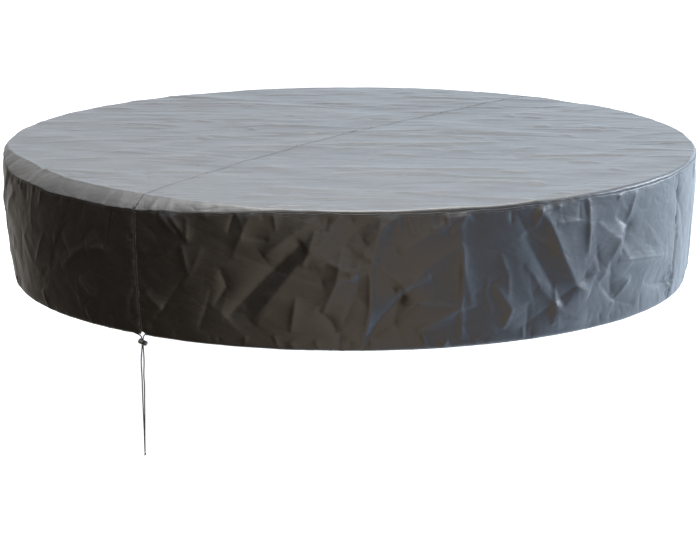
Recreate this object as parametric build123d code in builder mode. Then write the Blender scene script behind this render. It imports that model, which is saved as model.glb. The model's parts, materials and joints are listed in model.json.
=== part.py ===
"""Covered inflatable hot tub: a shallow inflatable tub, its inflatable lid, and the fitted
weather cover that is drawn tight round both by a cord in its hem.

Millimetres. +Z is up, the front is -Y, and the origin is the centre of the tub's underside.
"""

from build123d import *
from math import cos, degrees, hypot, pi, radians, sin, sqrt, tan
import os

# ---------------------------------------------------------------- weather cover
COVER_RADIUS = 1050.0  # at the seam between the top and the skirt
COVER_HEIGHT = 395.0  # from the hem's lower edge to the top
COVER_OVER_LID = 9.7  # from the lid's top to the cover's outer face
LID_EASE = 50.0  # from the lid's rim out to the cover's seam
TUB_EASE = 65.0  # from the tub's wall out to the cover's seam
HEM_DROP = 8.0  # the hem hangs this far below the tub's underside
HEM_INSET = 27.0  # the drawcord pulls the hem this far inside the seam
SKIRT_BELLY = 3.5  # how far the skirt stands out from a straight cone
CLOTH = 2.0
SHOULDER_RUN = 45.0
SHOULDER_DROP = 22.0
SHOULDER_BULGE = 6.5
SEAM_ANGLE = 235.4  # the skirt seam where the cord comes out, and the top's centre seam
SKIRT_SEAMS = (SEAM_ANGLE, 335.4, 415.4, 505.4)  # in turn, round to SEAM_ANGLE + 360
SKIRT_NAMES = ("skirt_front", "skirt_right", "skirt_back", "skirt_left")
TAPE_WIDTH = 22.0
TAPE = 1.2
BINDING_HEIGHT = 12.0
BINDING_WIDTH = 3.0

# ---------------------------------------------------------------- hem, cord and cord lock
CORD = 3.5  # diameter
LOCK_SCALE = CORD / 3.5  # the lock, the knot and the tails' bends grow with the cord
CORD_SLACK = 0.3  # round the cord, in the hem's tunnel
TUNNEL_CLOTH = 1.0
TUNNEL_HEIGHT = 10.0
MOUTH_LEFT = 43.0 * LOCK_SCALE  # along the hem, from the cord lock to the tunnel's left mouth
MOUTH_RIGHT = 17.0 * LOCK_SCALE
GROMMET_THICKNESS = 2.0
GROMMET_RIM = 2.2
STRAND_GAP = 0.3  # between the two strands inside the lock
LOCK_BELOW_HEM = 21.5 * LOCK_SCALE  # from the hem's edge down to the middle of the barrel
LOCK_BORE_OFFSET = 3.0 * LOCK_SCALE  # from the middle of the barrel to the cords
LOCK_TILT = 12.0
BARREL_RADIUS = 7.5 * LOCK_SCALE
BARREL_LEFT = 7.5 * LOCK_SCALE
BARREL_RIGHT = 7.0 * LOCK_SCALE
BARREL_WALL = 2.0 * LOCK_SCALE
STEM_RADIUS = 4.9 * LOCK_SCALE
STEM_FIT = 0.2
PLUNGER_TRAVEL = 3.0 * LOCK_SCALE
HEAD_RADIUS = 7.0 * LOCK_SCALE
HEAD_LENGTH = 7.0 * LOCK_SCALE
SPRING_WIRE = 0.6 * LOCK_SCALE
SPRING_RADIUS = 3.2 * LOCK_SCALE
SPRING_TURNS = 3.0
KNOT_HEIGHT = 11.0 * LOCK_SCALE
KNOT_WIDTH = 5.6 * LOCK_SCALE
KNOT_DEPTH = 8.0 * LOCK_SCALE

# ---------------------------------------------------------------- tub
WALL_BULGE = 10.0
TUB_WALL = 175.0  # between the valleys of the two walls
SHEET = 2.0
BASE_SHEET = 3.0
WALL_DRAWN = 318.0  # the wall height that the heights of its fittings are drawn for
DECK_RISE = 9.0
WALL_RINGS = 3
FLOOR_PAD = 10.0
FLOOR_LINER = 2.0
FLOOR_GAP = 2.0
BEAM_COUNT = 20
BEAM = 1.5
WELD_GAP = 0.2
BUBBLE_TUBE = 7.0  # half its width
BUBBLE_WALL = 2.0
BUBBLE_HOLES = 36
BUBBLE_HOLE = 1.5
BUBBLE_GAP = 18.0  # from the inner wall to the bubble tube's middle

PORT_Z_DRAWN = 90.0
PORT_PITCH = 80.0
WATER_PORT = 24.0
AIR_PORT = 16.0
PORT_PIPE = 3.0
PORT_FIT = 0.2
PORT_OUT = 11.0  # how far a port's nipple stands out of the wall
CAP_WALL = 5.0
CAP_GAP = 0.3
CAP_STANDOFF = 2.0
CAP_RIBS = 12
FLANGE_RIM = 14.0
FLANGE = 4.0
GASKET = 3.0
SCREEN_DEPTH = 10.0
SCREEN_WALL = 2.5
DRAIN_ANGLE = 120.0
DRAIN_Z_DRAWN = 42.0
DRAIN_PORT = 13.0
VALVE_ANGLE = 65.0
VALVE_Z_DRAWN = 262.0
VALVE_RADIUS = 12.0
VALVE_RIM = 12.0
VALVE_FLANGE = 3.0
VALVE_DEPTH = 30.0
VALVE_CAP = 12.0

HANDLE_ANGLES = (0.0, 180.0, 270.0)
HANDLE_Z_DRAWN = 132.0
HANDLE_WIDTH = 25.0
HANDLE_REACH = 13.0  # finger room between the strap and the wall
HANDLE_SPAN = 12.0  # degrees
WEBBING = 2.5
FOOT_SPAN = 1.6  # degrees
BUCKLES = 4
BUCKLE_WIDTH = 34.0
BUCKLE_DEPTH = 10.0
BUCKLE_FIT = 0.5
SOCKET_Z_DRAWN = 248.0
SOCKET_HEIGHT = 40.0
SOCKET_WALL = 2.0
STRAP_WIDTH = 25.0

# ---------------------------------------------------------------- lid
LID_THICKNESS = 50.0
LID_CLEARANCE = 0.3
BLADDER_GAP = 1.0
BLADDER_RIM_GAP = 8.0
BLADDER_SHEET = 1.5
BLADDER_WEBS = 9
WEB_PITCH = 180.0
ZIP_START = 100.0
ZIP_ARC = 70.0
ZIP_WIDTH = 12.0
LID_VALVE_ANGLE = 100.0
LID_VALVE_INSET = 60.0  # from the lid's rim
LID_VALVE_FLANGE = 1.2
LID_VALVE_CAP = 2.0

# ---------------------------------------------------------------- worked out
COVER_TOP = COVER_HEIGHT - HEM_DROP
TUB_RADIUS = COVER_RADIUS - TUB_EASE  # outside, where the wall bulges most
LID_RADIUS = COVER_RADIUS - LID_EASE
LID_VALVE_RADIUS = LID_RADIUS - LID_VALVE_INSET
WALL_TOP = round(COVER_TOP - COVER_OVER_LID - LID_THICKNESS - LID_CLEARANCE - DECK_RISE, 6)
RISE = WALL_TOP / WALL_DRAWN
PORT_Z = PORT_Z_DRAWN * RISE
DRAIN_Z = DRAIN_Z_DRAWN * RISE
VALVE_Z = VALVE_Z_DRAWN * RISE
HANDLE_Z = HANDLE_Z_DRAWN * RISE
SOCKET_Z = SOCKET_Z_DRAWN * RISE
SEAM_Z = COVER_TOP - SHOULDER_DROP
HEM_RADIUS = COVER_RADIUS - HEM_INSET
HEM_Z = -HEM_DROP
CAVITY = CORD + 2 * CORD_SLACK
TUNNEL_WIDTH = CAVITY + 2 * TUNNEL_CLOTH
TUNNEL_OUTER = HEM_RADIUS - CLOTH
CORD_RADIUS = TUNNEL_OUTER - TUNNEL_WIDTH / 2
CORD_Z = HEM_Z + TUNNEL_CLOTH + CAVITY / 2
MOUTH_LEFT_ANGLE = SEAM_ANGLE - degrees(MOUTH_LEFT / CORD_RADIUS)
MOUTH_RIGHT_ANGLE = SEAM_ANGLE + degrees(MOUTH_RIGHT / CORD_RADIUS)
STRAND = (CORD + STRAND_GAP) / 2  # from the lock's middle to each strand

OUTER_VALLEY = TUB_RADIUS - WALL_BULGE
INNER_VALLEY = OUTER_VALLEY - TUB_WALL
POOL_RADIUS = INNER_VALLEY - WALL_BULGE
RING_HEIGHT = (WALL_TOP - BASE_SHEET) / WALL_RINGS
DECK_TOP = WALL_TOP + DECK_RISE
LINER_TOP = BASE_SHEET + FLOOR_PAD + FLOOR_LINER
LID_BOTTOM = DECK_TOP + LID_CLEARANCE
LID_TOP = LID_BOTTOM + LID_THICKNESS
BLADDER_BOTTOM = LID_BOTTOM + SHEET + BLADDER_GAP
BLADDER_TOP = LID_TOP - SHEET - BLADDER_GAP
BLADDER_RADIUS = LID_RADIUS - SHEET - BLADDER_RIM_GAP


def save(piece, name):
    """Label a finished piece and write its STEP file."""
    piece.label = name
    export_step(piece, f"parts/{name}.step")


def radial(angle):
    """The level unit vector that points outwards at an angle."""
    return Vector(cos(radians(angle)), sin(radians(angle)), 0)


def tangent(angle):
    """The level unit vector along the hem at an angle, anticlockwise."""
    return Vector(-sin(radians(angle)), cos(radians(angle)), 0)


def profile_plane(angle):
    """An upright plane through the middle: x is outwards at the angle, y is up."""
    return Plane(origin=(0, 0, 0), x_dir=radial(angle), z_dir=-1 * tangent(angle))


def outward_plane(angle, distance, height):
    """A plane that faces outwards at an angle, its origin at a distance from the middle."""
    centre = radial(angle) * distance + Vector(0, 0, height)
    return Plane(origin=centre, x_dir=tangent(angle), z_dir=radial(angle))


def disc(radius, low, thickness):
    with BuildPart() as piece:
        with BuildSketch(Plane.XY.offset(low)):
            Circle(radius)
        extrude(amount=thickness)
    return piece.part


def ring(inner, outer, low, height):
    with BuildPart() as piece:
        with BuildSketch(Plane.XY.offset(low)):
            Circle(outer)
            Circle(inner, mode=Mode.SUBTRACT)
        extrude(amount=height)
    return piece.part


def sector(inner, outer, start, arc, low, height):
    """A flat slice of a ring, arc degrees long."""
    with BuildPart() as piece:
        with BuildSketch(Plane.XY.offset(low)):
            with BuildLine():
                rim = CenterArc((0, 0), outer, start, arc)
                bore = CenterArc((0, 0), inner, start, arc)
                Line(rim @ 0, bore @ 0)
                Line(rim @ 1, bore @ 1)
            make_face()
        extrude(amount=height)
    return piece.part


# ---------------------------------------------------------------- the cover's cloth


def skirt_point(height, inset=0.0):
    """The skirt's outer face at a height, as (radius, height), moved in by inset."""
    share = (height - HEM_Z) / (SEAM_Z - HEM_Z)
    belly = 4 * SKIRT_BELLY * share * (1 - share)
    return (HEM_RADIUS + HEM_INSET * share + belly - inset, height)


def skirt_section(angle, low, high, outer_inset, inner_inset):
    """The skirt's upright section between two heights and two depths into the cloth."""
    middle = (low + high) / 2
    with BuildSketch(profile_plane(angle)) as section:
        with BuildLine():
            outside = ThreePointArc(
                skirt_point(low, outer_inset), skirt_point(middle, outer_inset), skirt_point(high, outer_inset)
            )
            inside = ThreePointArc(
                skirt_point(low, inner_inset), skirt_point(middle, inner_inset), skirt_point(high, inner_inset)
            )
            Line(outside @ 0, inside @ 0)
            Line(outside @ 1, inside @ 1)
        make_face()
    return section.sketch


def skirt_panel(start, arc):
    """One panel of the skirt, without the notch that the cord comes out of."""
    section = skirt_section(start, HEM_Z, SEAM_Z, 0, CLOTH)
    notch = sector(
        HEM_RADIUS - 3 * CLOTH, HEM_RADIUS + 3 * CLOTH,
        MOUTH_LEFT_ANGLE, MOUTH_RIGHT_ANGLE - MOUTH_LEFT_ANGLE,
        HEM_Z - CLOTH, TUNNEL_HEIGHT + 2 * CLOTH,
    )
    with BuildPart() as panel:
        revolve(section, axis=Axis.Z, revolution_arc=arc)
        add(notch, mode=Mode.SUBTRACT)
    return panel.part


def top_panel(start):
    """One half of the top, from the centre seam out over the shoulder to the skirt."""
    flat = COVER_RADIUS - SHOULDER_RUN
    chord = hypot(SHOULDER_RUN, SHOULDER_DROP)
    normal = Vector(SHOULDER_DROP / chord, SHOULDER_RUN / chord)
    middle = Vector(flat + SHOULDER_RUN / 2, COVER_TOP - SHOULDER_DROP / 2) + normal * SHOULDER_BULGE
    under = middle - normal * CLOTH
    with BuildPart() as panel:
        with BuildSketch(profile_plane(start)):
            with BuildLine():
                Line((0, COVER_TOP), (flat, COVER_TOP))
                ThreePointArc((flat, COVER_TOP), (middle.X, middle.Y), (COVER_RADIUS, SEAM_Z))
                Line((COVER_RADIUS, SEAM_Z), (COVER_RADIUS - CLOTH, SEAM_Z))
                ThreePointArc((COVER_RADIUS - CLOTH, SEAM_Z), (under.X, under.Y), (flat, COVER_TOP - CLOTH))
                Line((flat, COVER_TOP - CLOTH), (0, COVER_TOP - CLOTH))
                Line((0, COVER_TOP - CLOTH), (0, COVER_TOP))
            make_face()
        revolve(axis=Axis.Z, revolution_arc=180)
    return panel.part


def centre_seam_tape():
    length = 2 * (COVER_RADIUS - SHOULDER_RUN)
    plane = Plane(origin=(0, 0, COVER_TOP - CLOTH - TAPE), x_dir=radial(SEAM_ANGLE), z_dir=(0, 0, 1))
    with BuildPart() as tape:
        with BuildSketch(plane):
            Rectangle(length, TAPE_WIDTH)
        extrude(amount=TAPE)
    return tape.part


def perimeter_binding():
    high = SEAM_Z - CLOTH
    outer = skirt_point(high - BINDING_HEIGHT, CLOTH)[0] - WELD_GAP
    return ring(outer - BINDING_WIDTH, outer, high - BINDING_HEIGHT, BINDING_HEIGHT)


def skirt_seam_tapes():
    arc = degrees(TAPE_WIDTH / COVER_RADIUS)
    low = HEM_Z + TUNNEL_HEIGHT + TAPE
    high = SEAM_Z - BINDING_HEIGHT - CLOTH - TAPE
    sections = [skirt_section(seam - arc / 2, low, high, CLOTH, CLOTH + TAPE) for seam in SKIRT_SEAMS]
    with BuildPart() as tapes:
        for section in sections:
            revolve(section, axis=Axis.Z, revolution_arc=arc)
    return tapes.part


def hem_tunnel():
    """The hem's folded tunnel, open at both mouths beside the cord lock."""
    section = profile_plane(MOUTH_RIGHT_ANGLE)
    arc = 360 - (MOUTH_RIGHT_ANGLE - MOUTH_LEFT_ANGLE)
    with BuildPart() as tunnel:
        with BuildSketch(section):
            with Locations((CORD_RADIUS, HEM_Z + TUNNEL_HEIGHT / 2)):
                Rectangle(TUNNEL_WIDTH, TUNNEL_HEIGHT)
                Rectangle(CAVITY, TUNNEL_HEIGHT - 2 * TUNNEL_CLOTH, mode=Mode.SUBTRACT)
        revolve(axis=Axis.Z, revolution_arc=arc)
    return tunnel.part


def mouth_plane(angle):
    """The plane across the cord at one of the tunnel's mouths."""
    centre = radial(angle) * CORD_RADIUS + Vector(0, 0, CORD_Z)
    return Plane(origin=centre, x_dir=radial(angle), z_dir=tangent(angle))


def hem_grommets():
    bore = CORD / 2 + 2 * CORD_SLACK
    with BuildPart() as grommets:
        for angle, way in ((MOUTH_LEFT_ANGLE, 1), (MOUTH_RIGHT_ANGLE, -1)):
            with BuildSketch(mouth_plane(angle)):
                Circle(bore + GROMMET_RIM)
                Circle(bore, mode=Mode.SUBTRACT)
            extrude(amount=way * GROMMET_THICKNESS)
    return grommets.part


def drawcord():
    """The cord's stretch inside the hem."""
    with BuildPart() as cord:
        with BuildSketch(profile_plane(MOUTH_RIGHT_ANGLE)):
            with Locations((CORD_RADIUS, CORD_Z)):
                Circle(CORD / 2)
        revolve(axis=Axis.Z, revolution_arc=360 - (MOUTH_RIGHT_ANGLE - MOUTH_LEFT_ANGLE))
    return cord.part


# ---------------------------------------------------------------- the cord's two free tails

CORD_AXIS = radial(SEAM_ANGLE) * CORD_RADIUS  # where the strands go down through the lock


def beside_hem(along, outwards, height):
    """A point by the cord lock: along the hem, outwards from it, and its height."""
    level = CORD_AXIS + tangent(SEAM_ANGLE) * along + radial(SEAM_ANGLE) * outwards
    return Vector(level.X, level.Y, height)


def bend(along, outwards, height):
    """A bend of a tail by the hem, as beside_hem gives it, wider for a thicker cord."""
    return beside_hem(along * LOCK_SCALE, outwards * LOCK_SCALE, height * LOCK_SCALE)


def below_lock(right, back, height):
    """A point under the cord lock: to the right, to the back, and its height."""
    return Vector(CORD_AXIS.X + right * LOCK_SCALE, CORD_AXIS.Y + back * LOCK_SCALE, height)


TAIL_LEFT = [
    radial(MOUTH_LEFT_ANGLE) * CORD_RADIUS + Vector(0, 0, CORD_Z),
    bend(-29.0, 0.5, -6.6),
    bend(-15.5, 1.3, -9.0),
    beside_hem(-4.0 * LOCK_SCALE, STRAND, -11.5 * LOCK_SCALE),
    beside_hem(0.0, STRAND, -21.5 * LOCK_SCALE),
    below_lock(-1.1, -1.6, -43.0),
    below_lock(-5.4, -1.9, -84.0),
    below_lock(-2.8, -2.5, -132.0),
    below_lock(-2.4, -1.7, -182.0),
    below_lock(-0.9, -1.9, -240.0),
    below_lock(0.8, -2.1, -297.0),
    below_lock(1.5, -1.9, -350.0),
]
TAIL_RIGHT = [
    radial(MOUTH_RIGHT_ANGLE) * CORD_RADIUS + Vector(0, 0, CORD_Z),
    bend(9.5, -0.7, -6.2),
    beside_hem(3.6 * LOCK_SCALE, -STRAND, -11.5 * LOCK_SCALE),
    beside_hem(0.0, -STRAND, -21.5 * LOCK_SCALE),
    below_lock(1.1, 1.6, -43.0),
    below_lock(3.7, 1.4, -84.0),
    below_lock(1.2, 2.2, -128.0),
    below_lock(3.5, 1.5, -152.0),
    below_lock(2.6, 1.7, -190.0),
    below_lock(2.7, 1.8, -242.0),
    below_lock(1.7, 1.8, -297.0),
    below_lock(1.5, 1.9, -350.0),
]
TAIL_END = -350.0


def corner_radii(points):
    """For each corner, 0.45 of its shorter run over the tangent of half its turn."""
    radii = []
    for before, corner, after in zip(points, points[1:], points[2:]):
        into = corner - before
        out = after - corner
        half_turn = radians(into.get_angle(out)) / 2
        radii.append(0.45 * min(into.length, out.length) / tan(half_turn))
    return radii


def cord_tail(points):
    radii = corner_radii(points)
    print("cord tail radii", [round(radius, 1) for radius in radii])
    with BuildPart() as tail:
        with BuildLine() as route:
            FilletPolyline(*points, radius=radii)
        start = route.wires()[0]
        with BuildSketch(Plane(origin=start @ 0, z_dir=start % 0)):
            Circle(CORD / 2)
        sweep()
    share = tail.part.volume / (start.length * pi * CORD**2 / 4)
    print("cord tail length", round(start.length, 1), "volume share", round(share, 4))
    return tail.part


def cord_knot():
    centre = below_lock(1.5, 0.0, TAIL_END)
    with BuildPart() as knot:
        with BuildSketch(Plane(origin=centre)):
            Ellipse(KNOT_WIDTH / 2, KNOT_DEPTH / 2)
        extrude(amount=-KNOT_HEIGHT)
        fillet(knot.edges().group_by(Axis.Z)[0], CORD / 2)
    return knot.part


# ---------------------------------------------------------------- the cord lock

LOCK_Z = HEM_Z - LOCK_BELOW_HEM
LOCK_AXIS = tangent(SEAM_ANGLE) * cos(radians(LOCK_TILT)) - Vector(0, 0, sin(radians(LOCK_TILT)))
LOCK_CENTRE = beside_hem(-LOCK_BORE_OFFSET, 0.0, LOCK_Z)
SLOT_WIDTH = 2 * STRAND + CORD + STRAND_GAP  # across both strands
SLOT_LENGTH = CORD + 2 * STRAND_GAP + 0.4
STEM_LEFT = -LOCK_BORE_OFFSET + SLOT_LENGTH / 2 + 1.3  # from the barrel's middle, leftwards
BORE_LEFT = BARREL_LEFT - BARREL_WALL


def lock_plane():
    """x runs along the lock's axis from the barrel's middle, and z points outwards."""
    return Plane(origin=LOCK_CENTRE, x_dir=LOCK_AXIS, z_dir=radial(SEAM_ANGLE))


def cord_slot(along_low, along_high):
    """An upright slot for both strands, from one place along the hem to another."""
    centre = beside_hem((along_low + along_high) / 2, 0.0, LOCK_Z - 2 * BARREL_RADIUS)
    with BuildPart() as slot:
        with BuildSketch(Plane(origin=centre, x_dir=tangent(SEAM_ANGLE), z_dir=(0, 0, 1))):
            Rectangle(along_high - along_low, SLOT_WIDTH)
        extrude(amount=4 * BARREL_RADIUS)
    return slot.part


def cord_lock_barrel():
    axis = Axis(LOCK_CENTRE, LOCK_AXIS)
    bore = STEM_RADIUS + STEM_FIT
    slot = cord_slot(-SLOT_LENGTH / 2, SLOT_LENGTH / 2)
    with BuildPart() as barrel:
        with BuildSketch(lock_plane()):
            with BuildLine():
                Polyline(
                    (-BARREL_LEFT, 0),
                    (-BARREL_LEFT, BARREL_RADIUS),
                    (BARREL_RIGHT, BARREL_RADIUS),
                    (BARREL_RIGHT, 0),
                    close=True,
                )
            rim = make_face()
            corners = rim.vertices().group_by(Axis(LOCK_CENTRE, lock_plane().y_dir))[-1]
            fillet(corners.sort_by(Axis(LOCK_CENTRE, LOCK_AXIS))[0], 0.8 * BARREL_RADIUS)
        revolve(axis=axis)
        with BuildSketch(Plane(origin=lock_plane().from_local_coords((-BORE_LEFT, 0, 0)), z_dir=LOCK_AXIS)):
            Circle(bore)
        extrude(amount=BORE_LEFT + BARREL_RIGHT, mode=Mode.SUBTRACT)
        add(slot, mode=Mode.SUBTRACT)
    return barrel.part


def cord_lock_plunger():
    head_start = BARREL_RIGHT + PLUNGER_TRAVEL + STEM_FIT
    stem = Plane(origin=lock_plane().from_local_coords((-STEM_LEFT, 0, 0)), z_dir=LOCK_AXIS)
    head = Plane(origin=lock_plane().from_local_coords((head_start, 0, 0)), z_dir=LOCK_AXIS)
    slot = cord_slot(-SLOT_LENGTH / 2, SLOT_LENGTH / 2 + PLUNGER_TRAVEL)
    with BuildPart() as plunger:
        with BuildSketch(stem):
            Circle(STEM_RADIUS)
        extrude(amount=STEM_LEFT + head_start)
        add(slot, mode=Mode.SUBTRACT)
        with BuildSketch(head):
            Circle(HEAD_RADIUS)
        extrude(amount=HEAD_LENGTH)
        far = plunger.edges().filter_by(GeomType.CIRCLE).sort_by(Axis(LOCK_CENTRE, LOCK_AXIS))[-1]
        fillet(far, HEAD_LENGTH / 3)
    return plunger.part


def cord_lock_spring():
    low = -BORE_LEFT + SPRING_WIRE
    length = BORE_LEFT - STEM_LEFT - 2 * SPRING_WIRE
    start = lock_plane().from_local_coords((low, 0, 0))
    with BuildPart() as spring:
        with BuildLine():
            coil = Helix(length / SPRING_TURNS, length, SPRING_RADIUS, center=start, direction=LOCK_AXIS)
        with BuildSketch(Plane(origin=coil @ 0, z_dir=coil % 0)):
            Circle(SPRING_WIRE / 2)
        sweep(is_frenet=True)
    return spring.part


# ---------------------------------------------------------------- the tub's sheets


def bulged_wall(valley, bulge, sheet):
    """A ring of welded sheet with WALL_RINGS bulges. bulge and sheet are signed outwards."""
    levels = [BASE_SHEET + RING_HEIGHT * step for step in range(WALL_RINGS + 1)]
    with BuildPart() as wall:
        with BuildSketch(Plane.XZ):
            with BuildLine():
                for face in (valley, valley + sheet):
                    for low, high in zip(levels, levels[1:]):
                        ThreePointArc((face, low), (face + bulge, (low + high) / 2), (face, high))
                for level in (levels[0], levels[-1]):
                    Line((valley, level), (valley + sheet, level))
            make_face()
        revolve(axis=Axis.Z)
    return wall.part


def top_deck():
    middle = (INNER_VALLEY + OUTER_VALLEY) / 2
    with BuildPart() as deck:
        with BuildSketch(Plane.XZ):
            with BuildLine():
                ThreePointArc((INNER_VALLEY, WALL_TOP), (middle, DECK_TOP), (OUTER_VALLEY, WALL_TOP))
                Line((OUTER_VALLEY, WALL_TOP), (OUTER_VALLEY - SHEET, WALL_TOP))
                ThreePointArc(
                    (OUTER_VALLEY - SHEET, WALL_TOP), (middle, DECK_TOP - SHEET), (INNER_VALLEY + SHEET, WALL_TOP)
                )
                Line((INNER_VALLEY + SHEET, WALL_TOP), (INNER_VALLEY, WALL_TOP))
            make_face()
        revolve(axis=Axis.Z)
    return deck.part


def wall_beams():
    """Upright webs that hold the two walls together, with holes that let the air past."""
    low = BASE_SHEET + WELD_GAP
    high = WALL_TOP - WELD_GAP
    inner = INNER_VALLEY + SHEET + WELD_GAP
    outer = OUTER_VALLEY - SHEET - WELD_GAP
    with BuildPart() as beams:
        with BuildSketch(Plane.XZ.offset(-BEAM / 2)):
            with Locations(((inner + outer) / 2, (low + high) / 2)):
                Rectangle(outer - inner, high - low)
                with GridLocations(0, RING_HEIGHT, 1, WALL_RINGS):
                    Circle(RING_HEIGHT / 5, mode=Mode.SUBTRACT)
        extrude(amount=BEAM)
    web = beams.part
    step = 360 / BEAM_COUNT
    with BuildPart() as group:
        for index in range(BEAM_COUNT):
            add(web.rotate(Axis.Z, step * (index + 0.5)))
    return group.part


def weld_bands():
    half = RING_HEIGHT / 35
    rise = 4 * WALL_BULGE * (half / RING_HEIGHT)
    inner = OUTER_VALLEY + rise + WELD_GAP
    with BuildPart() as bands:
        for level in range(1, WALL_RINGS):
            with BuildSketch(Plane.XY.offset(BASE_SHEET + RING_HEIGHT * level - half)):
                Circle(inner + SHEET)
                Circle(inner, mode=Mode.SUBTRACT)
            extrude(amount=2 * half)
    return bands.part


def bubble_ring():
    """The square perforated air tube at the foot of the inner wall."""
    middle = POOL_RADIUS - BUBBLE_GAP
    height = LINER_TOP + BUBBLE_TUBE + WELD_GAP
    with BuildPart() as tube:
        with BuildSketch(Plane.XZ):
            with Locations((middle, height)):
                Rectangle(2 * BUBBLE_TUBE, 2 * BUBBLE_TUBE)
                Rectangle(2 * (BUBBLE_TUBE - BUBBLE_WALL), 2 * (BUBBLE_TUBE - BUBBLE_WALL), mode=Mode.SUBTRACT)
        revolve(axis=Axis.Z)
        with BuildSketch(Plane.XY.offset(height)):
            with PolarLocations(middle, BUBBLE_HOLES, start_angle=180 / BUBBLE_HOLES):
                Circle(BUBBLE_HOLE)
        extrude(amount=2 * BUBBLE_TUBE, mode=Mode.SUBTRACT)
    return tube.part


# ---------------------------------------------------------------- the tub's fittings

PORTS = {"inlet": (-PORT_PITCH, WATER_PORT), "air": (0.0, AIR_PORT), "outlet": (PORT_PITCH, WATER_PORT)}
PORT_INNER = sqrt(POOL_RADIUS**2 - (PORT_PITCH + WATER_PORT + FLANGE_RIM) ** 2) - GASKET - FLANGE
PORT_OUTER = TUB_RADIUS + PORT_OUT


def port_plane(across, distance):
    """A plane across a port's axis, which runs straight back along +Y."""
    return Plane(origin=(across, distance, PORT_Z), x_dir=(1, 0, 0), z_dir=(0, 1, 0))


def drill(wall, planes_and_radii):
    """Cut round holes, each from its plane outwards, through a wall."""
    with BuildPart() as drills:
        for plane, radius in planes_and_radii:
            with BuildSketch(plane):
                Circle(radius + PORT_FIT)
            extrude(amount=3 * WALL_BULGE)
    with BuildPart() as drilled:
        add(wall)
        add(drills.part, mode=Mode.SUBTRACT)
    return drilled.part


def wall_holes(face):
    """Where the ports and the drain pass a wall, from just inside its face."""
    holes = []
    for across, radius in PORTS.values():
        edge = sqrt(face**2 - (abs(across) + radius) ** 2)
        holes.append((port_plane(across, edge - SHEET), radius))
    return holes + [(outward_plane(DRAIN_ANGLE, face - SHEET, DRAIN_Z), DRAIN_PORT)]


def outer_wall():
    face = OUTER_VALLEY - SHEET
    valve = (outward_plane(VALVE_ANGLE, face - SHEET, VALVE_Z), VALVE_RADIUS)
    return drill(bulged_wall(OUTER_VALLEY, WALL_BULGE, -SHEET), wall_holes(face) + [valve])


def inner_wall():
    return drill(bulged_wall(INNER_VALLEY, -WALL_BULGE, SHEET), wall_holes(POOL_RADIUS))


def port_sleeves():
    with BuildPart() as sleeves:
        for across, radius in PORTS.values():
            with BuildSketch(port_plane(across, PORT_INNER)):
                Circle(radius)
                Circle(radius - PORT_PIPE, mode=Mode.SUBTRACT)
            extrude(amount=PORT_OUTER - PORT_INNER)
    return sleeves.part


def port_rings(start, thickness, fit):
    """A flat ring round each port, inside the pool."""
    with BuildPart() as rings:
        for across, radius in PORTS.values():
            with BuildSketch(port_plane(across, start)):
                Circle(radius + FLANGE_RIM)
                Circle(radius + fit, mode=Mode.SUBTRACT)
            extrude(amount=thickness)
    return rings.part


def screw_cap(plane, bore, depth):
    """A cap over a nipple: plane faces outwards at the cap's rim."""
    outer = bore + CAP_WALL
    with BuildPart() as cap:
        with BuildSketch(plane):
            Circle(outer)
        extrude(amount=depth + CAP_WALL)
        with BuildSketch(plane):
            with PolarLocations(outer, CAP_RIBS):
                Circle(CAP_WALL / 3)
        extrude(amount=depth + CAP_WALL)
        with BuildSketch(plane):
            Circle(bore)
        extrude(amount=depth, mode=Mode.SUBTRACT)
    return cap.part


def port_cap(name):
    across, radius = PORTS[name]
    rim = TUB_RADIUS + CAP_STANDOFF
    return screw_cap(port_plane(across, rim), radius + CAP_GAP, PORT_OUTER + CAP_GAP - rim)


def port_screen(name):
    """A slotted bayonet screen over a water port, inside the pool."""
    across, radius = PORTS[name]
    outer = radius + FLANGE_RIM / 2
    face = port_plane(across, PORT_INNER - CAP_GAP - SCREEN_DEPTH)
    with BuildPart() as screen:
        with BuildSketch(face):
            Circle(outer)
        extrude(amount=SCREEN_DEPTH)
        with BuildSketch(face.offset(SCREEN_WALL)):
            Circle(outer - SCREEN_WALL)
        extrude(amount=SCREEN_DEPTH, mode=Mode.SUBTRACT)
        with BuildSketch(face):
            with GridLocations(0, radius / 3, 1, 5):
                SlotOverall(1.5 * radius, radius / 8)
        extrude(amount=SCREEN_WALL, mode=Mode.SUBTRACT)
    return screen.part


def drain_body():
    inner = POOL_RADIUS - GASKET - FLANGE
    with BuildPart() as drain:
        with BuildSketch(outward_plane(DRAIN_ANGLE, inner, DRAIN_Z)):
            Circle(DRAIN_PORT)
        extrude(amount=PORT_OUTER - inner)
        with BuildSketch(outward_plane(DRAIN_ANGLE, inner, DRAIN_Z)):
            Circle(DRAIN_PORT + FLANGE_RIM / 2)
        extrude(amount=FLANGE)
        with BuildSketch(outward_plane(DRAIN_ANGLE, inner, DRAIN_Z)):
            Circle(DRAIN_PORT - PORT_PIPE)
        extrude(amount=PORT_OUTER - inner, mode=Mode.SUBTRACT)
    return drain.part


def drain_cap():
    rim = TUB_RADIUS + CAP_STANDOFF
    plane = outward_plane(DRAIN_ANGLE, rim, DRAIN_Z)
    return screw_cap(plane, DRAIN_PORT + CAP_GAP, PORT_OUTER + CAP_GAP - rim)


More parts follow.
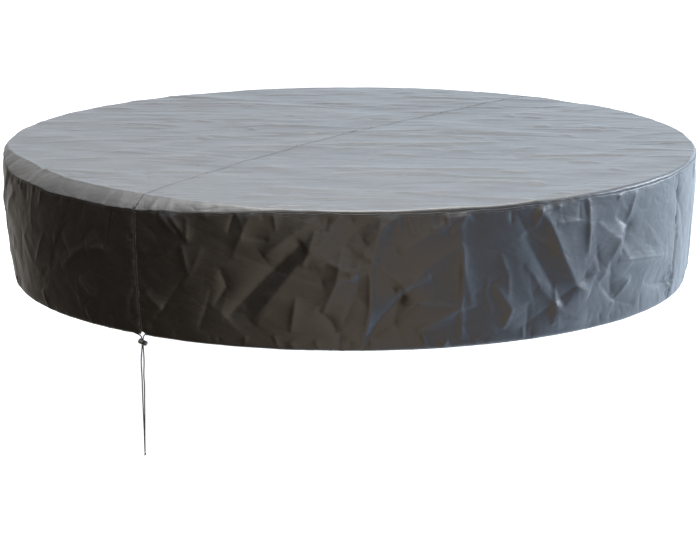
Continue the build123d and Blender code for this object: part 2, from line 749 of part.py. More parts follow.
def tub_valve_body():
    start = TUB_RADIUS + CLOTH
    with BuildPart() as valve:
        with BuildSketch(outward_plane(VALVE_ANGLE, start - VALVE_DEPTH, VALVE_Z)):
            Circle(VALVE_RADIUS)
            Circle(VALVE_RADIUS - PORT_PIPE, mode=Mode.SUBTRACT)
        extrude(amount=VALVE_DEPTH)
        with BuildSketch(outward_plane(VALVE_ANGLE, start, VALVE_Z)):
            Circle(VALVE_RADIUS + VALVE_RIM)
            Circle(VALVE_RADIUS - PORT_PIPE, mode=Mode.SUBTRACT)
        extrude(amount=VALVE_FLANGE)
    return valve.part


def tub_valve_cap():
    start = TUB_RADIUS + CLOTH + VALVE_FLANGE + CAP_GAP
    plug = VALVE_RADIUS - PORT_PIPE - CAP_GAP
    with BuildPart() as cap:
        with BuildSketch(outward_plane(VALVE_ANGLE, start, VALVE_Z)):
            Circle(VALVE_RADIUS + VALVE_RIM / 2)
        extrude(amount=VALVE_CAP / 2)
        with BuildSketch(outward_plane(VALVE_ANGLE, start, VALVE_Z)):
            with PolarLocations(VALVE_RADIUS + VALVE_RIM / 2, CAP_RIBS):
                Circle(CAP_WALL / 4)
        extrude(amount=VALVE_CAP / 2)
        with BuildSketch(outward_plane(VALVE_ANGLE, start, VALVE_Z)):
            Circle(plug)
        extrude(amount=-VALVE_CAP)
    return cap.part


# ---------------------------------------------------------------- handles, straps and buckles


def grab_handle(angle):
    """A webbing loop on the outer wall, with a sewn foot at each end."""
    inner = TUB_RADIUS + HANDLE_REACH
    start = angle - HANDLE_SPAN / 2
    end = angle + HANDLE_SPAN / 2
    leg = degrees(WEBBING / TUB_RADIUS)
    low = HANDLE_Z - HANDLE_WIDTH / 2
    pieces = [sector(inner, inner + WEBBING, start, HANDLE_SPAN, low, HANDLE_WIDTH)]
    for side in (start, end - leg):
        pieces.append(sector(TUB_RADIUS + WELD_GAP, inner, side, leg, low, HANDLE_WIDTH))
    for side in (start - FOOT_SPAN, end):
        pieces.append(sector(TUB_RADIUS + WELD_GAP, TUB_RADIUS + WEBBING, side, FOOT_SPAN, low, HANDLE_WIDTH))
    return pieces


def grab_handles():
    loops = [grab_handle(angle) for angle in HANDLE_ANGLES]
    with BuildPart() as handles:
        for loop in loops:
            add(loop)
    return handles.part


SOCKET_R = LID_RADIUS + CLOTH / 2 - BUCKLE_DEPTH / 2  # middle of the buckle's thickness
SOCKET_TOP = SOCKET_Z + SOCKET_HEIGHT
STRAP_R = LID_RADIUS + WELD_GAP


def polar_box(distance, depth, width, low, height):
    """One box at each buckle: distance is to its inner face."""
    with BuildPart() as boxes:
        with BuildSketch(Plane.XY.offset(low)):
            with PolarLocations(distance + depth / 2, BUCKLES):
                Rectangle(depth, width)
        extrude(amount=height)
    return boxes.part


def buckle_sockets():
    """The tub's half of each buckle, open at the top, with a bar for its webbing."""
    inner = SOCKET_R - BUCKLE_DEPTH / 2
    room = BUCKLE_DEPTH - 2 * SOCKET_WALL
    webbing_face = TUB_RADIUS + WEBBING + 2 * WELD_GAP
    bar = 3 * SOCKET_WALL
    body = polar_box(inner, BUCKLE_DEPTH, BUCKLE_WIDTH, SOCKET_Z, SOCKET_HEIGHT)
    mouth = polar_box(
        inner + SOCKET_WALL, room, BUCKLE_WIDTH - 4 * SOCKET_WALL, SOCKET_Z + 4 * SOCKET_WALL, SOCKET_HEIGHT
    )
    foot = polar_box(webbing_face, inner + SOCKET_WALL - webbing_face, STRAP_WIDTH, SOCKET_Z, bar)
    with BuildPart() as sockets:
        add(body)
        add(mouth, mode=Mode.SUBTRACT)
        add(foot)
    return sockets.part


def socket_webbing():
    low = HANDLE_Z + HANDLE_WIDTH
    return polar_box(TUB_RADIUS + WELD_GAP, WEBBING, STRAP_WIDTH, low, SOCKET_Z + SOCKET_WALL - low)


def buckle_tongues():
    """The lid's half of each buckle: a shoulder above the socket and two prongs inside."""
    depth = BUCKLE_DEPTH - 2 * SOCKET_WALL - 2 * BUCKLE_FIT
    inner = SOCKET_R - depth / 2
    prong = SOCKET_HEIGHT - 6 * SOCKET_WALL
    width = BUCKLE_WIDTH - 4 * SOCKET_WALL - 2 * BUCKLE_FIT
    blade = polar_box(inner, depth, width, SOCKET_TOP - prong, prong + BUCKLE_FIT)
    fork = polar_box(inner, depth, width / 2, SOCKET_TOP - prong, prong - SOCKET_WALL)
    shoulder = polar_box(
        SOCKET_R - BUCKLE_DEPTH / 2, BUCKLE_DEPTH, BUCKLE_WIDTH, SOCKET_TOP + BUCKLE_FIT, 3 * SOCKET_WALL
    )
    with BuildPart() as tongues:
        add(blade)
        add(fork, mode=Mode.SUBTRACT)
        add(shoulder)
    return tongues.part


def lid_straps():
    low = SOCKET_TOP + BUCKLE_FIT + 3 * SOCKET_WALL
    return polar_box(STRAP_R, WEBBING, STRAP_WIDTH, low, LID_TOP - SHEET - low)


# ---------------------------------------------------------------- the lid


def lid_valve_plane(height):
    return Plane(origin=radial(LID_VALVE_ANGLE) * LID_VALVE_RADIUS + Vector(0, 0, height))


def sheet_with_valve_hole(radius, low, thickness):
    whole = disc(radius, low, thickness)
    with BuildPart() as sheet:
        add(whole)
        with BuildSketch(lid_valve_plane(low)):
            Circle(VALVE_RADIUS + PORT_FIT)
        extrude(amount=thickness, mode=Mode.SUBTRACT)
    return sheet.part


def lid_zip():
    low = (LID_BOTTOM + LID_TOP - ZIP_WIDTH) / 2
    return sector(LID_RADIUS + WELD_GAP, LID_RADIUS + WELD_GAP + TAPE, ZIP_START, ZIP_ARC, low, ZIP_WIDTH)


def bladder_webs():
    """Parallel webs that keep the bladder flat."""
    inside = BLADDER_RADIUS - BLADDER_SHEET - WELD_GAP
    with BuildPart() as webs:
        for index in range(BLADDER_WEBS):
            across = WEB_PITCH * (index - (BLADDER_WEBS - 1) / 2)
            chord = 2 * sqrt(inside**2 - (abs(across) + BLADDER_SHEET) ** 2)
            with BuildSketch(Plane.XY.offset(BLADDER_BOTTOM + BLADDER_SHEET)):
                with Locations((0, across)):
                    Rectangle(chord, BLADDER_SHEET)
            extrude(amount=BLADDER_TOP - BLADDER_BOTTOM - 2 * BLADDER_SHEET)
    return webs.part


def lid_valve_body():
    with BuildPart() as valve:
        with BuildSketch(lid_valve_plane(LID_TOP - VALVE_DEPTH)):
            Circle(VALVE_RADIUS)
            Circle(VALVE_RADIUS - PORT_PIPE, mode=Mode.SUBTRACT)
        extrude(amount=VALVE_DEPTH)
        with BuildSketch(lid_valve_plane(LID_TOP)):
            Circle(VALVE_RADIUS + VALVE_RIM)
            Circle(VALVE_RADIUS - PORT_PIPE, mode=Mode.SUBTRACT)
        extrude(amount=LID_VALVE_FLANGE)
    return valve.part


def lid_valve_cap():
    start = LID_TOP + LID_VALVE_FLANGE + CAP_GAP
    with BuildPart() as cap:
        with BuildSketch(lid_valve_plane(start)):
            Circle(VALVE_RADIUS + VALVE_RIM / 3)
        extrude(amount=LID_VALVE_CAP)
        with BuildSketch(lid_valve_plane(start)):
            Circle(VALVE_RADIUS - PORT_PIPE - CAP_GAP)
        extrude(amount=-VALVE_CAP)
    return cap.part


# ---------------------------------------------------------------- write every piece

os.makedirs("parts", exist_ok=True)

for panel_name, panel_start, panel_end in zip(
    SKIRT_NAMES, SKIRT_SEAMS, SKIRT_SEAMS[1:] + (SEAM_ANGLE + 360,)
):
    save(skirt_panel(panel_start, panel_end - panel_start), panel_name)
save(top_panel(SEAM_ANGLE), "top_panel_right")
save(top_panel(SEAM_ANGLE + 180), "top_panel_left")
save(centre_seam_tape(), "centre_seam_tape")
save(perimeter_binding(), "perimeter_binding")
save(skirt_seam_tapes(), "skirt_seam_tapes")
save(hem_tunnel(), "hem_tunnel")
save(hem_grommets(), "hem_grommets")
save(drawcord(), "drawcord")
save(cord_tail(TAIL_LEFT), "cord_tail_left")
save(cord_tail(TAIL_RIGHT), "cord_tail_right")
save(cord_knot(), "cord_knot")
save(cord_lock_barrel(), "cord_lock_barrel")
save(cord_lock_plunger(), "cord_lock_plunger")
save(cord_lock_spring(), "cord_lock_spring")

save(disc(OUTER_VALLEY, 0, BASE_SHEET), "base_sheet")
save(disc(POOL_RADIUS - FLOOR_GAP, BASE_SHEET, FLOOR_PAD), "floor_pad")
save(disc(POOL_RADIUS - FLOOR_GAP, BASE_SHEET + FLOOR_PAD, FLOOR_LINER), "floor_liner")
save(outer_wall(), "outer_wall")
save(inner_wall(), "inner_wall")
save(top_deck(), "top_deck")
save(wall_beams(), "wall_beams")
save(drill(weld_bands(), wall_holes(OUTER_VALLEY)), "weld_bands")
save(bubble_ring(), "bubble_ring")
save(port_sleeves(), "port_sleeves")
save(port_rings(PORT_INNER, FLANGE, PORT_FIT), "port_flanges")
save(port_rings(PORT_INNER + FLANGE, GASKET, PORT_FIT), "port_gaskets")
for port_name in PORTS:
    save(port_cap(port_name), f"{port_name}_cap")
for port_name in ("inlet", "outlet"):
    save(port_screen(port_name), f"{port_name}_screen")
save(drain_body(), "drain_body")
save(drain_cap(), "drain_cap")
save(tub_valve_body(), "tub_valve_body")
save(tub_valve_cap(), "tub_valve_cap")
save(grab_handles(), "grab_handles")
save(buckle_sockets(), "buckle_sockets")
save(socket_webbing(), "socket_webbing")

save(disc(LID_RADIUS, LID_BOTTOM, SHEET), "lid_bottom_sheet")
save(sheet_with_valve_hole(LID_RADIUS, LID_TOP - SHEET, SHEET), "lid_top_sheet")
save(ring(LID_RADIUS - SHEET, LID_RADIUS, LID_BOTTOM + SHEET, LID_THICKNESS - 2 * SHEET), "lid_rim_band")
save(lid_zip(), "lid_zip")
save(disc(BLADDER_RADIUS, BLADDER_BOTTOM, BLADDER_SHEET), "bladder_bottom")
save(sheet_with_valve_hole(BLADDER_RADIUS, BLADDER_TOP - BLADDER_SHEET, BLADDER_SHEET), "bladder_top")
save(
    ring(
        BLADDER_RADIUS - BLADDER_SHEET, BLADDER_RADIUS,
        BLADDER_BOTTOM + BLADDER_SHEET, BLADDER_TOP - BLADDER_BOTTOM - 2 * BLADDER_SHEET,
    ),
    "bladder_rim",
)
save(bladder_webs(), "bladder_webs")
save(lid_valve_body(), "lid_valve_body")
save(lid_valve_cap(), "lid_valve_cap")
save(lid_straps(), "lid_straps")
save(buckle_tongues(), "buckle_tongues")
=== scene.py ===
"""Looks of the covered inflatable hot tub: fabric, cords, inflated tub and lid, floor, light and camera.

Metres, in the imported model's own frame. An azimuth (az) is in degrees round +Z from the front, to the right.
"""
import json
import math

import bpy
import numpy as np
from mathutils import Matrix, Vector

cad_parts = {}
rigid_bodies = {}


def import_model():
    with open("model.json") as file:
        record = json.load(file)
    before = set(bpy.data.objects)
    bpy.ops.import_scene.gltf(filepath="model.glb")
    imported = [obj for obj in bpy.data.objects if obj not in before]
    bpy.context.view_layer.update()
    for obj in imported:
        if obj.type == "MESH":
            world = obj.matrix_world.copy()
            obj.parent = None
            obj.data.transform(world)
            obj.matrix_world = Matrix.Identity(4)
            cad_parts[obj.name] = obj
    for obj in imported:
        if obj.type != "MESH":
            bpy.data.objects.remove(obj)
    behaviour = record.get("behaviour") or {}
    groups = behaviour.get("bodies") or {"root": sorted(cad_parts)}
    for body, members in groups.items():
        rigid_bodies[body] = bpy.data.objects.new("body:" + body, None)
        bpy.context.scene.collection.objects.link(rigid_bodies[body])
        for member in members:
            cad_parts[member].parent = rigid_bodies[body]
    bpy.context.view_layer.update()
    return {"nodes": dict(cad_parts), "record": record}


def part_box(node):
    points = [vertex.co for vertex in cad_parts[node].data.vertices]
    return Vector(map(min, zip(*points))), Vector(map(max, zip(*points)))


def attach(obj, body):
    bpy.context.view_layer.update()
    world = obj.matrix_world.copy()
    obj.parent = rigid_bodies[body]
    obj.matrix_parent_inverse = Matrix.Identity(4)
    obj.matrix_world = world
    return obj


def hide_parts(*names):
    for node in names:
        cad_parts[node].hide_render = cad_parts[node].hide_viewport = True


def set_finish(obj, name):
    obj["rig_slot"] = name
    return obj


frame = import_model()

NODES = frame["nodes"]
SEAM_R = 1.05  # radius of the seam between top and skirt
HEM_R = 1.023
CLEAR_R = 1.0125  # the skirt keeps outside this, clear of the lid and its straps
HEM_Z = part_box("skirt_front")[0].z
SEAM_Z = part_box("skirt_front")[1].z
TOP_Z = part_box("top_panel_left")[1].z
FRONT = 90.0  # az is the polar angle plus this
SEAM_POLAR = 235.4
SEAM_AZ = SEAM_POLAR + FRONT - 360.0
SKIRT_ARCS = (  # each panel's first and last edge, in degrees on from the seam above the cord
    ("skirt_front", 0, 100), ("skirt_right", 100, 180), ("skirt_back", 180, 270), ("skirt_left", 270, 360),
)
AROUND = 1476  # points round the skirt
UP = 84  # points up the skirt
CLOTH = 0.0011


# ---------------------------------------------------------------- camera and cords
def make_camera():
    """Looks down at the top's middle from the front, and then tips down a little more to frame the cord."""
    down, distance, tip = math.radians(10.23), 8.4, 2.89
    data = bpy.data.cameras.new("camera")
    data.lens = 141.5
    camera = bpy.data.objects.new("camera", data)
    bpy.context.scene.collection.objects.link(camera)
    camera.location = (0.0, -distance * math.cos(down), TOP_Z + distance * math.sin(down))
    camera.rotation_euler = (math.radians(90.0 - tip) - down, 0.0, 0.0)
    bpy.context.scene.camera = camera


make_camera()

CORD = 0.0035
CORD_R = 1.01795  # radius of the drawcord's run in the hem
HEM_CORD_Z = -0.00495
OUT = np.array([math.cos(math.radians(SEAM_POLAR)), math.sin(math.radians(SEAM_POLAR))])  # level, towards the lock
SEAM_POINT = OUT * CORD_R
ALONG = np.array([-OUT[1], OUT[0]])  # level, along the hem at the lock
LEFT_MOUTH = 232.98
RIGHT_MOUTH = 236.357


def mouth(polar):
    """Where the cord leaves the hem, at a polar angle."""
    a = math.radians(polar)
    return (CORD_R * math.cos(a), CORD_R * math.sin(a), HEM_CORD_Z)


def beside_hem(along, outwards, z):
    """A point by the lock, in millimetres: along the hem, outwards from it, and its height."""
    p = SEAM_POINT + ALONG * along / 1000 + OUT * outwards / 1000
    return (p[0], p[1], z / 1000)


def below_lock(right, back, z):
    """A point under the lock, in millimetres: to the right, to the back, and its height."""
    return (SEAM_POINT[0] + right / 1000, SEAM_POINT[1] + back / 1000, z / 1000)


CORD_STEP = 0.0007  # between the rings of a cord's mesh
BRAID = 1500  # radians of a strand's twist in a metre of cord

LEFT_ROUTE = [
    mouth(LEFT_MOUTH), beside_hem(-29.0, 0.5, -6.6), beside_hem(-15.5, 1.3, -9.0), beside_hem(-4.0, 1.9, -11.5),
    beside_hem(0, 1.9, -21.5), below_lock(-1.1, -1.6, -43), below_lock(-5.4, -1.9, -84),
    below_lock(-2.8, -2.5, -132), below_lock(-2.4, -1.7, -182), below_lock(-0.9, -1.9, -240),
    below_lock(0.8, -2.1, -297), below_lock(1.5, -1.9, -350),
]
RIGHT_ROUTE = [
    mouth(RIGHT_MOUTH), beside_hem(9.5, -0.7, -6.2), beside_hem(3.6, -1.9, -11.5), beside_hem(0, -1.9, -21.5),
    below_lock(1.1, 1.6, -43), below_lock(3.7, 1.4, -84), below_lock(1.2, 2.2, -128),
    below_lock(3.5, 1.5, -152), below_lock(2.6, 1.7, -190), below_lock(2.7, 1.8, -242),
    below_lock(1.7, 1.8, -297), below_lock(1.5, 1.9, -350),
]


def nurbs_line(route):
    """The smooth line that a cord follows: the route's own NURBS spline, as Blender evaluates it."""
    data = bpy.data.curves.new("route", "CURVE")
    data.dimensions = "3D"
    spline = data.splines.new("NURBS")
    spline.points.add(len(route) - 1)
    for point, place in zip(spline.points, route):
        point.co = (*place, 1.0)
    spline.order_u = 3
    spline.use_endpoint_u = True
    spline.resolution_u = 24
    holder = bpy.data.objects.new("route", data)
    bpy.context.scene.collection.objects.link(holder)
    mesh = bpy.data.meshes.new_from_object(holder)
    line = np.array([v.co for v in mesh.vertices])
    bpy.data.objects.remove(holder)
    return line


def braided_cord(name, route):
    """A round braided cord along its route: the strands' diamonds stand a little proud of it."""
    line = nurbs_line(route)
    gone = np.concatenate([[0], np.cumsum(np.linalg.norm(np.diff(line, axis=0), axis=1))])
    steps = np.linspace(0, gone[-1], int(gone[-1] / CORD_STEP))
    line = np.stack([np.interp(steps, gone, line[:, k]) for k in range(3)], -1)
    tangent = np.gradient(line, axis=0)
    tangent /= np.linalg.norm(tangent, axis=1, keepdims=True)
    side = np.empty_like(line)
    side[0] = np.cross(tangent[0], [0.31, 0.95, 0.05])
    for k in range(1, len(line)):
        side[k] = side[k - 1] - tangent[k] * (side[k - 1] @ tangent[k])
        side[k] /= np.linalg.norm(side[k])
    side[0] /= np.linalg.norm(side[0])
    other = np.cross(tangent, side)
    count = 16
    a = np.arange(count) * 2 * math.pi / count
    strands, twist = 4 * a[None], steps[:, None] * BRAID
    radius = CORD / 2 * (0.975 + 0.045 * np.cos(strands + twist) * np.cos(strands - twist))
    across, aside = (radius * np.cos(a))[..., None], (radius * np.sin(a))[..., None]
    points = line[:, None] + side[:, None] * across + other[:, None] * aside
    faces = grid_faces(len(line), count, True)
    faces += [tuple(range(count)), tuple(reversed(range((len(line) - 1) * count, len(line) * count)))]
    faces = [tuple(reversed(f)) for f in faces]
    return build(name, points.reshape(-1, 3), faces, "weather_cover", "cord"), line


# ---------------------------------------------------------------- meshes
def build(name, points, faces, body, slot=None, uv=None, crest=None, smooth=True):
    """A mesh piece that rides on a body. uv is in metres on the cloth, and crest is high on a fold's edge and low in
    its hollow; the cloth's base colour takes a painted highlight and painted shade from it.
    """
    mesh = bpy.data.meshes.new(name)
    mesh.from_pydata(np.asarray(points, float).tolist(), [], [tuple(f) for f in faces])
    mesh.polygons.foreach_set("use_smooth", [smooth] * len(mesh.polygons))
    if uv is not None:
        corner = np.empty(len(mesh.loops), np.int32)
        mesh.loops.foreach_get("vertex_index", corner)
        layer = mesh.uv_layers.new(name="cloth")
        layer.data.foreach_set("uv", np.asarray(uv, np.float32)[corner].ravel())
    if crest is not None:
        sharp = mesh.attributes.new("crest", "FLOAT", "POINT")
        sharp.data.foreach_set("value", np.asarray(crest, np.float32))
    mesh.update()
    piece = bpy.data.objects.new(name, mesh)
    bpy.context.scene.collection.objects.link(piece)
    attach(piece, body)
    if slot:
        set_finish(piece, slot)
    return piece


def normals_of(points, faces):
    """The surface's outward direction at each point."""
    total = np.zeros_like(points)
    quads = np.array([f if len(f) == 4 else (*f, f[2]) for f in faces])
    n = np.cross(points[quads[:, 2]] - points[quads[:, 0]], points[quads[:, 3]] - points[quads[:, 1]])
    flat = np.linalg.norm(n, axis=1) < 1e-14
    corner, second, third = (points[quads[flat, k]] for k in range(3))
    n[flat] = np.cross(second - corner, third - corner)
    for k in range(4):
        np.add.at(total, quads[:, k], n)
    return total / np.maximum(np.linalg.norm(total, axis=1, keepdims=True), 1e-12)


def edges_of(faces):
    """Every edge of every triangle and quad, as a pair of points in the face's own direction."""
    edges = []
    for size in (3, 4):
        same = np.array([f for f in faces if len(f) == size], int).reshape(-1, size)
        edges += [same[:, (k, (k + 1) % size)] for k in range(size)]
    return np.concatenate(edges)


def cloth_sheet(name, points, faces, uv, crest):
    """A closed sheet of the cover: the given outside, the same surface inside it, and the rim between them."""
    count = len(points)
    inside = points - normals_of(points, faces) * CLOTH
    edges = edges_of(faces)
    rim = edges[~np.isin(edges[:, 0] * count + edges[:, 1], edges[:, 1] * count + edges[:, 0])]
    whole = list(faces) + [tuple(v + count for v in reversed(f)) for f in faces]
    whole += [(b, a, a + count, b + count) for a, b in rim.tolist()]
    return build(name, np.concatenate([points, inside]), whole, "weather_cover", "cover_fabric",
                 np.concatenate([uv, uv]), np.concatenate([crest, crest]))


def grid_faces(rows, columns, wrap=False):
    """The quads between the rows of a grid of points."""
    i, j = np.meshgrid(np.arange(rows - 1), np.arange(columns if wrap else columns - 1), indexing="ij")
    k = (j + 1) % columns
    low, high = i * columns, (i + 1) * columns
    return np.stack([low + j, low + k, high + k, high + j], -1).reshape(-1, 4).tolist()


def ramp(a, b, x):
    """A smooth step from 0 at a to 1 at b."""
    t = np.clip((x - a) / (b - a), 0, 1)
    return t * t * (3 - 2 * t)


def wobble(az, seed, lowest, highest, size):
    """A smooth irregular wave round the object, of about the given size."""
    rng = np.random.default_rng(seed)
    total, a = np.zeros_like(az), np.radians(az)
    waves = np.unique(np.geomspace(lowest, highest, 14).astype(int))
    for n in waves:
        total += rng.uniform(0.3, 1) * np.sin(n * a + rng.uniform(0, 2 * math.pi)) / math.sqrt(n / lowest)
    return size * total / math.sqrt(len(waves))


def add_fold(field, x, y, points, width, height, skew=0.0, around=None):
    """Adds one crease along a line of points: a sharp crest, or valley, that falls away to both sides."""
    pts = np.array(points, float)
    middle, reach = (pts.min(0) + pts.max(0)) / 2, (pts.max(0) - pts.min(0)) / 2 + 4.5 * width
    dx = x - middle[0]
    if around:
        dx = (dx + around / 2) % around - around / 2
    near = np.nonzero((np.abs(dx) < reach[0]) & (np.abs(y - middle[1]) < reach[1]))[0]
    if not len(near):
        return
    px, py = dx[near], y[near] - middle[1]
    pts = pts - middle
    runs = np.hypot(*np.diff(pts, axis=0).T)
    best, place, side = np.full(len(near), 9.0), np.zeros(len(near)), np.zeros(len(near))
    gone = 0.0
    for (ax, ay), (bx, by), run in zip(pts[:-1], pts[1:], runs):
        ux, uy = (bx - ax) / run, (by - ay) / run
        u = np.clip((px - ax) * ux + (py - ay) * uy, 0, run)
        vx, vy = px - ax - u * ux, py - ay - u * uy
        far = np.hypot(vx, vy)
        closer = far < best
        best = np.where(closer, far, best)
        place = np.where(closer, gone + u, place)
        side = np.where(closer, np.sign(ux * vy - uy * vx), side)
        gone += run
    taper = np.sqrt(np.clip(1 - (2 * place / gone - 1) ** 2, 0, 1))
    wide = width * (0.35 + 0.65 * taper) * (1 + skew * side)
    field[near] += height * taper * np.exp(-np.sqrt(best**2 + (0.1 * width) ** 2) / wide)


SHARPEST = 0.0011  # how far a point on the sharpest crease stands out of its neighbours


def crest_of(grid):
    """How sharply each point of a grid that runs round stands out of its neighbours, -1 to 1: the cloth's colour gets
    a painted highlight where it is high and painted shade where it is low.
    """
    around = np.roll(grid, 1, 1) + np.roll(grid, -1, 1) - 2 * grid
    upright = np.zeros_like(grid)
    upright[1:-1] = grid[2:] + grid[:-2] - 2 * grid[1:-1]
    return np.clip(-(around + upright) / SHARPEST, -1, 1)


# ---------------------------------------------------------------- the cover's seam line, shared by top and skirt
def tucks(az, seed, count, low, high):
    """Small gathers at uneven places along an edge: each a narrow pinch."""
    rng = np.random.default_rng(seed)
    total = np.zeros_like(az)
    centres, widths = rng.uniform(-180, 180, count), rng.uniform(low, high, count)
    for centre, wide, size in zip(centres, widths, rng.uniform(0.3, 1, count)):
        d = (az - centre + 180) % 360 - 180
        total += size * np.exp(-np.abs(d) / wide)
    return total


def band(az):
    """1 where the top slopes down to a low seam, at the left front, and 0 elsewhere."""
    a = (az + 180) % 360 - 180
    return ramp(-8, -38, a) * ramp(-90, -66, a)


def slow_seam(az):
    """Radius and height of the seam without its small tucks."""
    r = SEAM_R - 0.0012 + wobble(az, 3, 4, 16, 0.0012)
    return r, SEAM_Z + 0.011 - 0.023 * band(az) + wobble(az, 4, 3, 16, 0.0022)


def seam_line(az):
    """Radius and height of the seam between the top and the skirt."""
    calm = 1 - 0.55 * ramp(25, 50, az) * ramp(130, 100, az)
    r, z = slow_seam(az)
    r = r + (wobble(az, 3, 20, 90, 0.0010) - 0.0018 * tucks(az, 21, 210, 0.25, 0.7)) * calm
    z = z + wobble(az, 4, 20, 110, 0.0016) * calm
    z += (0.0022 * tucks(az, 22, 110, 0.3, 0.9) - 0.0020 * tucks(az, 23, 90, 0.3, 1.1)) * calm
    return r, z


# ---------------------------------------------------------------- skirt
# Main folds: points as (azimuth, height share from hem to seam), width and height in metres.
SKIRT_FOLDS = (
    (((-5, 0.98), (-13, 0.69)), 0.030, 0.013), (((-7, 0.80), (-13, 0.52), (-19, 0.22)), 0.040, -0.018),
    (((-2, 0.90), (-8, 0.62), (-15, 0.20)), 0.034, 0.013), (((7, 0.99), (2, 0.82)), 0.020, 0.010),
    (((-5, 0.89), (-7, 0.62)), 0.012, 0.006), (((-6, 0.62), (-3.5, 0.66), (0, 0.59), (4, 0.67)), 0.016, 0.009),
    (((3, 0.60), (-4, 0.50)), 0.018, 0.008), (((3, 0.62), (3, 0.3), (2, 0.03)), 0.018, 0.009),
    (((14, 0.92), (7, 0.73)), 0.030, 0.010), (((17.5, 0.99), (12, 0.88)), 0.020, 0.008),
    (((12, 0.56), (6.6, 0.45)), 0.020, 0.009), (((8, 0.42), (4, 0.2), (2, 0.03)), 0.030, -0.013),
    (((-5, 0.31), (-3, 0.22), (-2, 0.13)), 0.016, -0.008), (((-8, 0.40), (-9, 0.13)), 0.014, 0.006),
    (((8, 0.35), (12, 0.37), (17, 0.31)), 0.018, 0.009), (((17, 0.31), (10, 0.14)), 0.018, 0.008),
    (((-16, 0.83), (-12, 0.80)), 0.012, -0.006), (((17, 0.75), (16.8, 0.4), (17.2, 0.05)), 0.012, 0.006),
    (((29, 0.98), (31, 0.87), (34, 0.58), (37, 0.35), (40, 0.27)), 0.036, 0.018),
    (((27, 0.80), (31, 0.50), (35, 0.22)), 0.030, -0.010), (((32.5, 0.85), (39, 0.83)), 0.012, 0.005),
    (((39, 0.99), (39, 0.57)), 0.014, 0.007), (((45, 0.83), (48.5, 0.73), (46.5, 0.53)), 0.014, -0.008),
    (((50, 0.99), (48, 0.77)), 0.012, 0.005), (((46, 0.48), (57, 0.42), (62, 0.38)), 0.018, 0.009),
    (((39, 0.43), (44, 0.40), (50, 0.29)), 0.016, 0.008), (((54, 0.26), (57, 0.21), (66, 0.14)), 0.022, -0.010),
    (((-30, 0.98), (-27, 0.84)), 0.011, 0.008), (((-28, 0.98), (-25, 0.80)), 0.011, 0.008),
    (((-26, 0.76), (-25, 0.54)), 0.011, 0.007), (((-25, 0.97), (-25, 0.76)), 0.010, 0.006),
    (((-20, 0.60), (-19, 0.45), (-21, 0.30)), 0.020, -0.008), (((-45, 0.62), (-41, 0.66)), 0.016, 0.007),
    (((-33, 0.36), (-30, 0.24)), 0.018, 0.009), (((-47, 0.38), (-43.5, 0.24)), 0.016, 0.008),
    (((22, 0.45), (25, 0.25), (24, 0.1)), 0.022, 0.010), (((33, 0.40), (33, 0.08)), 0.014, 0.007),
)


def skirt_field(x, y):
    """How far each place on the skirt stands out, in all its folds: x is along the seam, and y is its height."""
    field = np.zeros(x.size)
    around = 2 * math.pi * SEAM_R

    def fold(points, width, height, skew=0.0):
        add_fold(field, x, y, points, width, height, skew, around)

    for places, width, height in SKIRT_FOLDS:
        points = [(math.radians(az) * SEAM_R, HEM_Z + share * (SEAM_Z - HEM_Z)) for az, share in places]
        fold(points, width, height, 0.25)
    rng = np.random.default_rng(5)
    for _ in range(430):  # small folds, most of them leaning away from the front
        length = 0.035 + 0.23 * rng.random() ** 1.5
        width = length * rng.uniform(0.06, 0.15)
        height = rng.choice([1, -1]) * width * (0.05 + 0.34 * rng.random() ** 1.9)
        start = np.array([rng.uniform(0, around), rng.uniform(HEM_Z, SEAM_Z)])
        away = -1 if math.sin(start[0] / SEAM_R) > 0.2 else 1
        lean = away if rng.random() < 0.7 else rng.choice([-1, 1])
        turn = lean * rng.uniform(0.5, 1.45)
        step = np.array([math.cos(turn), math.sin(turn)]) * length
        bow = np.array([-step[1], step[0]]) * rng.uniform(-0.12, 0.12)
        fold([start, start + step / 2 + bow, start + step], width, height, rng.uniform(-0.4, 0.4))
    for centre in rng.uniform(-180, 180, 105):  # gathers at the hem
        tall, lean = rng.uniform(0.012, 0.060), rng.uniform(-0.03, 0.03)
        low = math.radians(centre) * SEAM_R
        width = rng.uniform(0.005, 0.011)
        height = rng.choice([1, -0.8]) * rng.uniform(0.003, 0.007)
        fold([(low, HEM_Z - 0.01), (low + lean, HEM_Z + tall)], width, height)
    for centre in rng.uniform(-180, 180, 80):  # puckers under the seam
        tall, lean = rng.uniform(0.015, 0.060), rng.uniform(-0.03, 0.03)
        high = math.radians(centre) * SEAM_R
        width = rng.uniform(0.004, 0.009)
        height = rng.choice([1, -1]) * rng.uniform(0.002, 0.006)
        fold([(high, SEAM_Z + 0.012), (high + lean, SEAM_Z - tall)], width, height)
    for _, first, _ in SKIRT_ARCS:  # puckers beside the upright seams
        at = math.radians(SEAM_AZ + first) * SEAM_R
        for level in rng.uniform(HEM_Z, SEAM_Z, 26):
            reach = rng.choice([-1, 1]) * rng.uniform(0.012, 0.045)
            end = level + rng.uniform(-0.02, 0.02)
            width = rng.uniform(0.004, 0.007)
            height = rng.choice([1, -1]) * rng.uniform(0.0015, 0.003)
            fold([(at, level), (at + reach, end)], width, height)
        fold([(at, HEM_Z - 0.1), (at, SEAM_Z + 0.1)], 0.010, -0.004)
    return field


